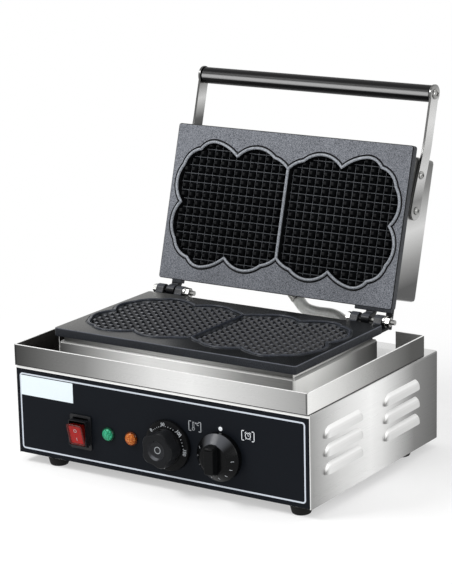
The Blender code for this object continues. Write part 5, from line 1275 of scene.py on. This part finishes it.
def lobed_cap():
    bm = bmesh.new()
    made = bmesh.ops.create_circle(bm, cap_ends=True, segments=120, radius=CAP_RADIUS)
    for vertex in made["verts"]:
        angle = math.atan2(vertex.co.y, vertex.co.x)
        wave = math.cos(LOBES * angle)
        vertex.co *= 1 + LOBE_DEPTH * (wave - 0.35 * (1 - wave) ** 2 / 2)
        vertex.co.z = CAP_BACK
    face = bm.faces[:][0]
    for rise, share in ((4.0, 1.02), (11.0, 0.965), (1.6, 0.955)):
        (face,), verts = pulled(bm, [face], rise * MM)
        bmesh.ops.scale(bm, vec=(share, share, 1), verts=verts)
    bmesh.ops.inset_region(bm, faces=[face], thickness=1.6 * MM, depth=0.9 * MM,
                           use_even_offset=True)
    inner = [f for f in bm.faces if all(len(e.link_faces) > 2 for e in f.edges)]
    bmesh.ops.delete(bm, geom=inner, context="FACES_ONLY")
    bmesh.ops.holes_fill(bm, edges=[e for e in bm.edges if e.is_boundary])
    print("open edges in the cap:", sum(e.is_boundary for e in bm.edges))
    cap = finish_mesh(bm, "cap")
    cap.materials.append(PHENOLIC_CAP)
    dish = finish_mesh(spun([(0, DISH_FLOOR), (7.6 * MM, DISH_FLOOR), (9.4 * MM, 23.2 * MM),
                             (10.4 * MM, 24.4 * MM), (11.6 * MM, 26.4 * MM), (11.6 * MM, 28.0 * MM),
                             (0, 28.0 * MM)], 96), "dish")
    dish.materials.append(PHENOLIC_DISH)
    cap = carved(cap, dish)
    cap.transform(DIAL_PLACE)
    return cap


def skirt():
    return spun([(0, 9.0 * MM), (19.6 * MM, 9.0 * MM), (20.2 * MM, 8.4 * MM),
                 (20.6 * MM, 6.4 * MM), (27.2 * MM, 5.6 * MM), (28.9 * MM, 4.6 * MM),
                 (29.5 * MM, 2.6 * MM), (29.5 * MM, 1.0 * MM), (0, 1.0 * MM)], 96)


add_piece("dial_skirt", finish_mesh(skirt(), "skirt", DIAL_PLACE), [PHENOLIC],
          "temperature_knob", ["temperature_knob"])
add_piece("dial_cap", lobed_cap(), [PHENOLIC_CAP, PHENOLIC_DISH], "temperature_knob")

# %% [markdown]
# The scale is printed: plain numbers in steps of fifty with small ticks between. Text is made
# a mesh, laid flat just above the skirt and turned to its angle.

# %% Dial numbers and ticks
TEXT_HALF = 0.06 * MM
SCALE_ANGLES = (141, 99, 46, -8)
SKIRT_SLOPE = -7


def flat_text(words, size, place):
    """A short text as a thin solid, laid at a place."""
    curve = bpy.data.curves.new("words", "FONT")
    curve.body = words
    curve.size = size
    curve.offset = 0.10 * MM
    curve.extrude = TEXT_HALF
    curve.align_x = "CENTER"
    curve.align_y = "CENTER"
    bm = curve_mesh(curve)
    bmesh.ops.transform(bm, matrix=place, verts=bm.verts)
    return bm


def tick(radius, length, width, height, angle, tilt):
    """A short printed bar that points away from the middle."""
    mark = boxed((-width / 2, -length / 2, -TEXT_HALF), (width / 2, length / 2, TEXT_HALF))
    place = (Matrix.Rotation(math.radians(angle - 90), 4, "Z")
             @ Matrix.Translation((0, radius, height)) @ Matrix.Rotation(tilt, 4, "X"))
    bmesh.ops.transform(mark, matrix=place, verts=mark.verts)
    return mark


def dial_scale():
    """Numbers on the skirt's slope, small ticks between them and one mark below."""
    parts = []
    tilt = math.radians(SKIRT_SLOPE)
    for number, angle in zip(range(0, 151, 50), SCALE_ANGLES):
        turn = Matrix.Rotation(math.radians(angle - 90), 4, "Z")
        place = turn @ Matrix.Translation((0, 25.0 * MM, 6.0 * MM)) @ Matrix.Rotation(
            tilt, 4, "X")
        parts.append(flat_text(str(number), 5.4 * MM, place))
    for first, last in zip(SCALE_ANGLES, SCALE_ANGLES[1:]):
        for part in range(1, 6):
            parts.append(tick(23.2 * MM, 1.0 * MM, 0.7 * MM, 6.25 * MM,
                              first + (last - first) * part / 6, tilt))
    parts.append(tick(26.0 * MM, 2.4 * MM, 0.7 * MM, 5.9 * MM, -96, tilt))
    return finish_mesh(joined(*parts), "scale", DIAL_PLACE)


def dish_ring():
    return finish_mesh(ring(4.1 * MM, 0.7 * MM, (0, 0, DISH_FLOOR + 0.1 * MM), 40), "ring",
                       DIAL_PLACE)


add_piece("dial_scale", dial_scale(), [PRINT_DIAL], "temperature_knob")
add_piece("dial_ring", dish_ring(), [PRINT_DIAL], "temperature_knob")

# %% [markdown]
# The timer's knob is a cone with a bar grip across it. The bar is a rounded block that
# narrows to its front.

# %% Timer knob
TIMER = Vector(JOINTS["timer_turn"]["pos_m"])
TIMER_PLACE = on_panel(TIMER.x, TIMER.z - HOUSING_BOTTOM)
BAR_FRONT = 26.4 * MM
CONE_SLOPE = -44
TIMER_TICKS, TICK_STEP = 9, 26


def timer_cone():
    return spun([(0, 17.0 * MM), (16.6 * MM, 17.0 * MM), (18.3 * MM, 16.5 * MM),
                 (26.6 * MM, 8.4 * MM), (27.5 * MM, 7.4 * MM), (27.5 * MM, 1.0 * MM),
                 (0, 1.0 * MM)], 96)


def timer_bar():
    bm = boxed((-6.2 * MM, -19.6 * MM, 9.0 * MM), (6.2 * MM, 19.6 * MM, BAR_FRONT))
    for vertex in bm.verts:
        if vertex.co.z > 20 * MM:
            vertex.co.y *= 0.76
            vertex.co.x *= 0.95
    upright = [e for e in bm.edges if abs(e.verts[0].co.z - e.verts[1].co.z) > 5 * MM]
    bevel_edges(bm, upright, 2.2 * MM, 4)
    bevel_edges(bm, [e for e in steep_edges(bm, 60.0) if e.verts[0].co.z > 20 * MM], 0.8 * MM, 3)
    return bm


def timer_ticks():
    parts = [tick(22.6 * MM, 3.8 * MM, 0.6 * MM, 12.5 * MM, 1 - TICK_STEP * count,
                  math.radians(CONE_SLOPE)) for count in range(TIMER_TICKS)]
    pointer = boxed((-4.4 * MM, 12.7 * MM, BAR_FRONT - 0.1 * MM),
                    (4.4 * MM, 13.3 * MM, BAR_FRONT))
    return finish_mesh(joined(pointer, *parts), "ticks", TIMER_PLACE)


add_piece("timer_cone", finish_mesh(timer_cone(), "cone", TIMER_PLACE), [PHENOLIC_CONE],
          "timer_knob", ["timer_knob"])
add_piece("timer_bar", finish_mesh(timer_bar(), "bar", TIMER_PLACE), [PHENOLIC_SATIN],
          "timer_knob")
add_piece("timer_ticks", timer_ticks(), [PRINT_DIAL], "timer_knob")

# %% [markdown]
# The rest of the panel is print: a pale border line, a blank label plate, a dot above the
# timer, and two small pictures in brackets, a thermometer and a clock. Words are left off.

# %% Panel print
def flat_frame(low, high, radius, width, thickness):
    """A rounded rectangular ring lying on the panel."""
    bm = bmesh.new()
    loops = []
    for grow in (0.0, width):
        (x0, y0), (x1, y1) = [v + grow for v in low], [v - grow for v in high]
        turn = radius - grow
        loop = []
        for x, y, first in ((x1 - turn, y1 - turn, 0), (x0 + turn, y1 - turn, 90),
                            (x0 + turn, y0 + turn, 180), (x1 - turn, y0 + turn, 270)):
            loop += [bm.verts.new((x + px, y + py, 0))
                     for px, py in round_points(turn, first, first + 90, 8)]
        loops.append(loop)
    outer, inner = loops
    count = len(outer)
    ring_faces = [bm.faces.new((outer[i], outer[(i + 1) % count], inner[(i + 1) % count],
                                inner[i])) for i in range(count)]
    pulled(bm, ring_faces, thickness)
    return bm


def brackets():
    parts = []
    for side in (-1, 1):
        x = side * 8.0 * MM
        parts.append(bar((x, -5.5 * MM), (x, 5.5 * MM), 0.8 * MM))
        for y in (-5.5 * MM, 5.5 * MM):
            parts.append(bar((x, y), (x - side * 2.6 * MM, y), 0.8 * MM))
    return parts


def thermometer():
    parts = brackets()
    parts.append(ring(1.8 * MM, 0.5 * MM, (-2.0 * MM, -3.2 * MM, 0)))
    for x in (-2.9 * MM, -1.1 * MM):
        parts.append(bar((x, -1.4 * MM), (x, 4.4 * MM), 0.45 * MM))
    parts.append(bar((-2.9 * MM, 4.6 * MM), (-1.1 * MM, 4.6 * MM), 0.6 * MM))
    parts.append(ring(0.9 * MM, 0.45 * MM, (1.3 * MM, 3.9 * MM, 0), 16))
    parts += [bar((3.0 * MM, 4.2 * MM), (5.0 * MM, 4.2 * MM), 0.6 * MM),
              bar((3.0 * MM, 1.6 * MM), (3.0 * MM, 4.2 * MM), 0.6 * MM),
              bar((3.0 * MM, 1.6 * MM), (5.0 * MM, 1.6 * MM), 0.6 * MM)]
    return parts


def clock():
    parts = brackets()
    parts.append(ring(3.7 * MM, 0.65 * MM))
    parts.append(bar((0, 0), (0, 2.1 * MM), 0.5 * MM))
    parts.append(bar((0, 0), (1.5 * MM, 0), 0.5 * MM))
    for side in (-1, 1):
        parts.append(bar((side * 2.4 * MM, 4.3 * MM), (side * 3.9 * MM, 3.0 * MM), 0.6 * MM))
        parts.append(bar((side * 2.5 * MM, -3.2 * MM), (side * 3.0 * MM, -4.0 * MM), 0.5 * MM))
    return parts


BORDER = (-193.7 * MM, 6.0 * MM), (193.7 * MM, 98.4 * MM)
BORDER_TURN, BORDER_WIDTH, BORDER_THICKNESS = 4.0 * MM, 1.8 * MM, 0.12 * MM
LABEL = (-191.9 * MM, 72.0 * MM, 0.05 * MM), (-117.0 * MM, 95.7 * MM, 0.7 * MM)
PANEL_PLACE = on_panel(0, 0)
DOT_PLACE = on_panel(84.7 * MM, 73.8 * MM)
THERMOMETER_PLACE = on_panel(50.8 * MM, 71.3 * MM)
CLOCK_PLACE = on_panel(120.5 * MM, 71.4 * MM)

border = flat_frame(*BORDER, BORDER_TURN, BORDER_WIDTH, BORDER_THICKNESS)
label = boxed(*LABEL)
bevel_edges(label, steep_edges(label), 0.25 * MM, 2)
dot = spun([(0, 0.12 * MM), (2.4 * MM, 0.12 * MM), (2.5 * MM, 0), (0, 0)], 32)
for name, shape, place, material in (
        ("border_line", border, PANEL_PLACE, PRINT_GREY),
        ("label_plate", label, PANEL_PLACE, LABEL_PALE),
        ("timer_dot", dot, DOT_PLACE, PRINT_WHITE),
        ("thermometer_sign", joined(*thermometer()), THERMOMETER_PLACE, PRINT_DIAL),
        ("clock_sign", joined(*clock()), CLOCK_PLACE, PRINT_WHITE)):
    add_piece(name, finish_mesh(shape, name, place), [material], "base")

# %% [markdown]
# The flexible conduit is wound from plated strip. Its ribs come from a pipe whose radius
# swells and shrinks along the route. It crosses the hinge, from the box's fitting to the lid's.

# %% Conduit
CONDUIT_RADIUS = 7.6 * MM
CONDUIT_RIBS = 84
RIB_DEPTH = 0.35 * MM


def conduit_route():
    """From the box's fitting, round behind the hinge, to the mouth of the lid's elbow."""
    box_low, box_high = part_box("conduit_fitting_box")
    middle = (box_low + box_high) / 2
    box_mouth = Vector((middle.x, box_high.y + 0.3 * MM, middle.z))
    y, z = lid_point(12.0 * MM, 44.0 * MM)
    elbow = LID_TURN @ Vector((5.0 * MM, y + 9.3 * MM, z))
    way = Vector((math.sqrt(0.5), 0, -math.sqrt(0.5)))
    lid_mouth = elbow + way * 7.8 * MM
    straight = 2 * CONDUIT_RADIUS
    first = lid_mouth + way * straight
    offsets = ((-6, 41.4, 1.0), (-22, 57.4, 5.0), (-39, 62.4, 9.5))
    knots = [box_mouth, box_mouth + Vector((0, straight, 0))]
    knots += [box_mouth + Vector(offset) * MM for offset in offsets]
    knots += [first + Vector((14, 3, -4.2)) * MM, first, lid_mouth]
    return knots


def smooth(knots, steps):
    """A smooth curve through the knots."""
    knots = [2 * knots[0] - knots[1]] + knots + [2 * knots[-1] - knots[-2]]
    route = []
    for a, b, c, d in zip(knots, knots[1:], knots[2:], knots[3:]):
        for i in range(steps):
            t = i / steps
            route.append(0.5 * (2 * b + (c - a) * t + (2 * a - 5 * b + 4 * c - d) * t ** 2
                                + (3 * b - a - 3 * c + d) * t ** 3))
    return route + [knots[-2]]


def evenly(route, count):
    """Points at equal steps along a route."""
    lengths = [0.0]
    for a, b in zip(route, route[1:]):
        lengths.append(lengths[-1] + (b - a).length)
    result, index = [], 0
    for k in range(count):
        target = lengths[-1] * k / (count - 1)
        while index < len(route) - 2 and lengths[index + 1] < target:
            index += 1
        share = (target - lengths[index]) / (lengths[index + 1] - lengths[index])
        result.append(route[index].lerp(route[index + 1], share))
    return result


def add_conduit():
    knots = conduit_route()
    count = 4 * CONDUIT_RIBS + 1
    points = evenly(smooth(knots, 24), count)
    radii = [CONDUIT_RADIUS - RIB_DEPTH * (0.5 + 0.5 * math.cos(math.pi * i / 2))
             for i in range(count)]
    mesh = finish_mesh(piped(points, CONDUIT_RADIUS, 20, radii=radii), "conduit")
    mesh.materials.append(CONDUIT)
    mesh.shade_smooth()
    piece = linked("conduit_hose", mesh)
    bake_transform(piece)
    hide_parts("conduit")
    length = sum((b - a).length for a, b in zip(points, points[1:]))
    print("conduit's length: %.1f mm" % (length / MM))


add_conduit()

# %% [markdown]
# The floor is plain and pale, and even beneath the object it glows at a share of white:
# painted light that thins the object's shadow. Behind everything the world is white to the
# camera and to glossy rays, and a softer white for the light that it gives. Three lamps do the
# rest: a long strip from the upper left whose reflection runs along the handle, beside the
# highlight painted there, a broad one from the front right and one above.

# %% Floor, world and lamps
FADE_START, FADE_END, FLOOR_GLOW_LEAST = 0.30, 0.75, 0.45
WORLD_LIGHT = 0.55


def add_floor():
    """A white sheet that fades into the white behind it, so that no horizon shows.
    Near the object it already glows at the least share of white: painted light that thins the
    shadow.
    """
    bm = bmesh.new()
    bmesh.ops.create_grid(bm, x_segments=8, y_segments=8, size=8.0)
    mesh = finish_mesh(bm, "floor")
    floor = linked("floor", mesh)
    material, tree, shader = new_material("studio_floor", "FFFFFF", 0.9)
    shader.inputs["Specular IOR Level"].default_value = 0.1
    place = add(tree, "ShaderNodeTexCoord").outputs["Object"]
    away = add(tree, "ShaderNodeVectorMath", {0: place}, operation="LENGTH")
    fade = spread(tree, away.outputs["Value"], FADE_START, FADE_END, FLOOR_GLOW_LEAST, 1.0)
    white = add(tree, "ShaderNodeEmission", {"Color": (1, 1, 1, 1), "Strength": 1.0})
    blend = add(tree, "ShaderNodeMixShader", {0: fade, 1: shader.outputs[0],
                                              2: white.outputs[0]})
    tree.links.new(blend.outputs[0], tree.nodes["Material Output"].inputs["Surface"])
    mesh.materials.append(material)


def add_world():
    """White to the camera and in reflections, softer as a light."""
    world = bpy.data.worlds.new("studio")
    bpy.context.scene.world = world
    world.use_nodes = True
    tree = world.node_tree
    tree.nodes.clear()
    path = add(tree, "ShaderNodeLightPath")
    seen = add(tree, "ShaderNodeMath", {0: path.outputs["Is Camera Ray"],
                                        1: path.outputs["Is Glossy Ray"]}, operation="MAXIMUM")
    seen = add(tree, "ShaderNodeMath", {0: seen.outputs[0],
                                        1: path.outputs["Is Transmission Ray"]},
               operation="MAXIMUM")
    strength = add(tree, "ShaderNodeMapRange", {"Value": seen.outputs[0], "To Min": WORLD_LIGHT,
                                                "To Max": 1.0})
    shade = add(tree, "ShaderNodeBackground", {"Color": (1, 1, 1, 1),
                                               "Strength": strength.outputs[0]})
    add(tree, "ShaderNodeOutputWorld", {"Surface": shade.outputs[0]})


def add_lamp(name, place, target, size, power):
    light = bpy.data.lights.new(name, "AREA")
    light.shape = "RECTANGLE"
    light.size, light.size_y = size
    light.energy = power
    lamp = linked(name, light)
    lamp.location = place
    lamp.rotation_euler = (Vector(target) - Vector(place)).to_track_quat("-Z", "Y").to_euler()
    print("lamp %s: %g W" % (name, power))


add_floor()
add_world()
add_lamp("key", (-0.95, -0.95, 1.50), (0, 0.1, 0.3), (0.95, 0.50), 23)
add_lamp("fill", (1.7, -0.9, 0.9), (0, 0, 0.2), (0.9, 1.2), 14)
add_lamp("top", (0.1, 0.2, 1.7), (0, 0, 0.2), (1.2, 0.8), 3)
bpy.context.scene.view_settings.view_transform = "Standard"
